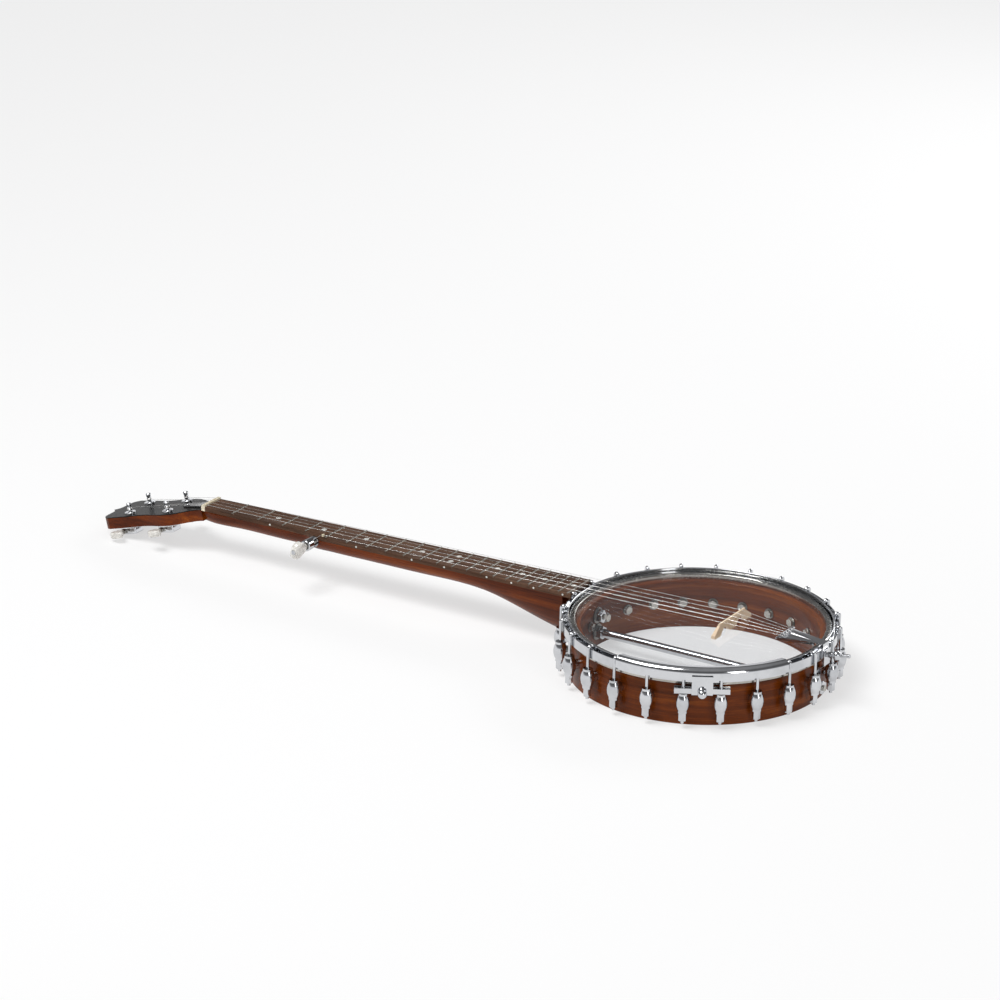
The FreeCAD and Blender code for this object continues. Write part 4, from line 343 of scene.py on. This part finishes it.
# Nodes that look different from the rest of their material slot.
FINER = {"frets": "fret_wire_shaded", "pot_washers": "washer", "tuner_winding_4": "wound"}


def material_of(node):
    return MATERIALS[FINER.get(node, SLOTS[node])]


for node, obj in NODES.items():
    if not obj.data.materials:
        obj.data.materials.append(material_of(node))
    for k in range(len(obj.data.materials)):
        obj.data.materials[k] = material_of(node)


# ---- Detailed pieces ----
WELD = 0.000002                     # points nearer than this are one
STRING_WELD = 0.000001              # the same for the strings, which have finer faces
FLAT = math.radians(0.8)            # faces nearer in angle than this are one
PLATE_AREA = 0.000012               # a bend between faces over this size stays crisp
PLATE_BEND = math.radians(4)        # if it is at least this sharp
BEVEL_FROM = math.radians(32)       # edges sharper than this are rounded

RIM_WALL = 0.013
RIM_ROUNDING = 0.0016
RIM_STEPS = 192

BRACKETS = 24
HOOK_RADIUS = 0.0018
HOOK_CIRCLE = 0.14915               # radius that the hooks' shanks stand on
HOOK_TIP_CIRCLE = 0.14405           # and that their tips stand on
HOOK_BEND_Z = HEAD_Z + 0.000175
HOOK_TIP_Z = HEAD_Z - 0.0019
HOOK_FOOT_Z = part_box("bracket_hooks")[0].z
HOOK_BEND_STEPS = 14
HOOK_SWELL = HOOK_RADIUS * 0.28     # the forged bend is fuller than the shank
THREAD_PITCH = 0.0007
THREAD_TURNS = 18
THREAD_START = 0.0004               # above the hook's foot
SHANK_START = 0.0145


def add_piece(name, bm, node):
    """Puts a mesh in the scene in place of a fixed node, with the node's material."""
    bmesh.ops.recalc_face_normals(bm, faces=bm.faces)
    for face in bm.faces:
        face.smooth = True
    mesh = bpy.data.meshes.new(name)
    bm.to_mesh(mesh)
    bm.free()
    piece = show(bpy.data.objects.new(name, mesh))
    mesh.materials.clear()          # this also puts every face on the first slot
    mesh.materials.append(material_of(node))
    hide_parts(node)
    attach(piece, "body")
    return piece


def add_softened(node, width):
    """A node's own shape with its sharp edges rounded and its plates' bends kept crisp."""
    bm = bmesh.new()
    bm.from_mesh(NODES[node].data)
    bmesh.ops.remove_doubles(bm, verts=bm.verts, dist=WELD)
    bmesh.ops.dissolve_limit(bm, angle_limit=FLAT, verts=bm.verts, edges=bm.edges)
    for edge in bm.edges:
        faces = edge.link_faces
        if len(faces) == 2 and min(face.calc_area() for face in faces) > PLATE_AREA:
            edge.smooth = edge.calc_face_angle() < PLATE_BEND
    piece = add_piece(node + "_finished", bm, node)
    bevel = piece.modifiers.new("edges", "BEVEL")
    bevel.width = width
    bevel.segments = 2
    bevel.limit_method = "ANGLE"
    bevel.angle_limit = BEVEL_FROM
    bevel.harden_normals = True


def rounded_box_profile(low, high, bottom, top, radius, steps=5):
    """The outline of a ring's section, with rounded corners."""
    corners = [(high - radius, top - radius, 0), (low + radius, top - radius, 90),
               (low + radius, bottom + radius, 180), (high - radius, bottom + radius, 270)]
    points = []
    for x, z, start in corners:
        for k in range(steps + 1):
            angle = math.radians(start + 90 * k / steps)
            points.append((x + radius * math.cos(angle), z + radius * math.sin(angle)))
    return points


def add_rim():
    """The rim, its section turned about the pot's axis."""
    low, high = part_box("rim_shell")
    outer = (high.y - low.y) / 2
    profile = rounded_box_profile(outer - RIM_WALL, outer, low.z, high.z, RIM_ROUNDING)
    bm = bmesh.new()
    rings = []
    for k in range(RIM_STEPS):
        turn = 2 * math.pi * k / RIM_STEPS
        rings.append([bm.verts.new((r * math.cos(turn), r * math.sin(turn), z)) for r, z in profile])
    for here, there in zip(rings, rings[1:] + rings[:1]):
        for j in range(len(profile)):
            i = (j + 1) % len(profile)
            bm.faces.new((here[j], there[j], there[i], here[i]))
    bmesh.ops.transform(bm, matrix=Matrix.Translation((POT_X, 0, 0)), verts=bm.verts)
    add_piece("rim_finished", bm, "rim_shell")


def add_tube(bm, path, sides=14):
    """A closed tube through (point, direction, across, radius) stations."""
    rings = []
    for point, along, across, radius in path:
        other = along.cross(across).normalized()
        ring = []
        for k in range(sides):
            angle = 2 * math.pi * k / sides
            out = across * math.cos(angle) + other * math.sin(angle)
            ring.append(bm.verts.new(point + out * radius))
        rings.append(ring)
    for here, there in zip(rings, rings[1:]):
        for k in range(sides):
            i = (k + 1) % sides
            bm.faces.new((here[k], here[i], there[i], there[k]))
    bm.faces.new(rings[0][::-1])
    bm.faces.new(rings[-1])


def hook_path():
    """One bracket hook: threaded below, plain above, with a fuller bend over the hoop."""
    up, across = Vector((0, 0, 1)), Vector((0, 1, 0))
    shank = [(HOOK_FOOT_Z, 0.62)]
    for k in range(THREAD_TURNS):
        z = HOOK_FOOT_Z + THREAD_START + THREAD_PITCH * k
        shank += [(z, 1.0), (z + THREAD_PITCH / 2, 0.84)]
    shank += [(HOOK_FOOT_Z + SHANK_START, 0.97), (HOOK_BEND_Z - 0.003, 0.97)]
    path = [(Vector((HOOK_CIRCLE, 0, z)), up, across, HOOK_RADIUS * share) for z, share in shank]
    bend = (HOOK_CIRCLE - HOOK_TIP_CIRCLE) / 2
    centre = Vector((HOOK_CIRCLE - bend, 0, HOOK_BEND_Z))
    for k in range(HOOK_BEND_STEPS + 1):
        angle = math.pi * k / HOOK_BEND_STEPS
        swell = HOOK_SWELL * math.sin(angle)
        out = Vector((math.cos(angle), 0, math.sin(angle)))
        along = Vector((-math.sin(angle), 0, math.cos(angle)))
        path.append((centre + out * (bend + swell * 0.9), along, across, HOOK_RADIUS + swell))
    for z, share in ((HOOK_TIP_Z + 0.0003, 1.0), (HOOK_TIP_Z, 0.8)):
        path.append((Vector((HOOK_TIP_CIRCLE, 0, z)), -up, across, HOOK_RADIUS * share))
    return path


def add_hooks():
    path = hook_path()
    bm = bmesh.new()
    for n in range(BRACKETS):
        before = set(bm.verts)
        add_tube(bm, path)
        spin = Matrix.Rotation(2 * math.pi * (n + 0.5) / BRACKETS, 4, "Z")
        new = [vert for vert in bm.verts if vert not in before]
        bmesh.ops.transform(bm, matrix=Matrix.Translation((POT_X, 0, 0)) @ spin, verts=new)
    add_piece("bracket_hooks_finished", bm, "bracket_hooks")


def add_strings():
    """The strings' own shape, shaded smooth."""
    bm = bmesh.new()
    bm.from_mesh(NODES["strings"].data)
    bmesh.ops.remove_doubles(bm, verts=bm.verts, dist=STRING_WELD)
    add_piece("strings_finished", bm, "strings")


add_rim()
add_hooks()
add_strings()
for node, width in (
    ("bracket_nuts", 0.0004), ("armrest_clamp", 0.0004), ("tailpiece_body", 0.00035),
    ("tailpiece_hanger", 0.0003), ("bridge", 0.0004), ("bridge_top", 0.0002),
    ("tuner_base_plates", 0.0002), ("tuner_housings", 0.0003), ("truss_rod_cover", 0.0003),
    ("shoe_bolts", 0.0003), ("rod_nuts", 0.0004), ("nut", 0.0002), ("fingerboard", 0.0003),
):
    add_softened(node, width)


# ---- Floor, world and lamps ----
FLOOR_HALF = 14.0
FLOOR_GREY = 0.86
FLOOR_WHITE = 0.6                   # how much of the floor is white to the camera and to mirrors
SKY = [(0.0, 1.0), (0.10, 1.0), (0.26, 0.22), (0.62, 0.10), (0.9, 0.3)]  # (height, level)


def make_floor():
    mesh = bpy.data.meshes.new("floor")
    corners = [(x * FLOOR_HALF, y * FLOOR_HALF, 0) for x, y in ((-1, -1), (1, -1), (1, 1), (-1, 1))]
    mesh.from_pydata(corners, [], [(0, 1, 2, 3)])
    floor = show(bpy.data.objects.new("floor", mesh))
    s = surface("floor")
    matt = s.add("ShaderNodeBsdfDiffuse", {"Color": (*[FLOOR_GREY] * 3, 1)}).outputs[0]
    white = s.add("ShaderNodeEmission", {"Color": (1, 1, 1, 1), "Strength": 1.0}).outputs[0]
    path = s.add("ShaderNodeLightPath")
    seen = s.math("MAXIMUM", path.outputs["Is Camera Ray"], path.outputs["Is Glossy Ray"])
    seen = s.math("MAXIMUM", seen, path.outputs["Is Transmission Ray"])
    share = s.math("MULTIPLY", seen, FLOOR_WHITE)
    mixed = s.add("ShaderNodeMixShader", {0: share, 1: matt, 2: white}).outputs[0]
    mesh.materials.append(s.finish(mixed))


def make_world():
    """White at the horizon and dim overhead, the same for every kind of ray."""
    s = Nodes(bpy.data.worlds.new("world"))
    bpy.context.scene.world = s.owner
    direction = s.add("ShaderNodeTexCoord").outputs["Generated"]
    height = s.add("ShaderNodeSeparateXYZ", {0: direction}).outputs[2]
    colour = s.ramp(height, [(at, (level, level, level * 1.02)) for at, level in SKY])
    sky = s.add("ShaderNodeBackground", {"Color": colour}).outputs[0]
    s.add("ShaderNodeOutputWorld", {"Surface": sky})


def add_lamp(data, aim, place=(0, 0, 0)):
    lamp = show(bpy.data.objects.new(data.name, data))
    lamp.location = place
    lamp.rotation_euler = (Vector(aim) - Vector(place)).to_track_quat("-Z", "Y").to_euler()


def area_light(name, place, aim, size, power):
    data = bpy.data.lights.new(name, "AREA")
    data.shape = "RECTANGLE"
    data.size, data.size_y = size
    data.energy = power
    add_lamp(data, aim, place)


def sun(aim, strength, angle):
    data = bpy.data.lights.new("sun", "SUN")
    data.energy = strength
    data.angle = math.radians(angle)
    add_lamp(data, aim)


make_floor()
make_world()
sun((0.25, 0.45, -1), 1.3, 30)
area_light("key", (-0.5, -0.9, 2.2), (0.1, 0, 0), (1.5, 0.8), 26)
area_light("back", (0.6, 2.3, 1.2), (0.1, 0, 0.05), (2.2, 0.5), 20)
area_light("side", (2.6, -1.4, 1.2), (0.1, 0, 0.05), (0.6, 1.2), 12)
place_camera()
bpy.context.scene.view_settings.view_transform = "Standard"
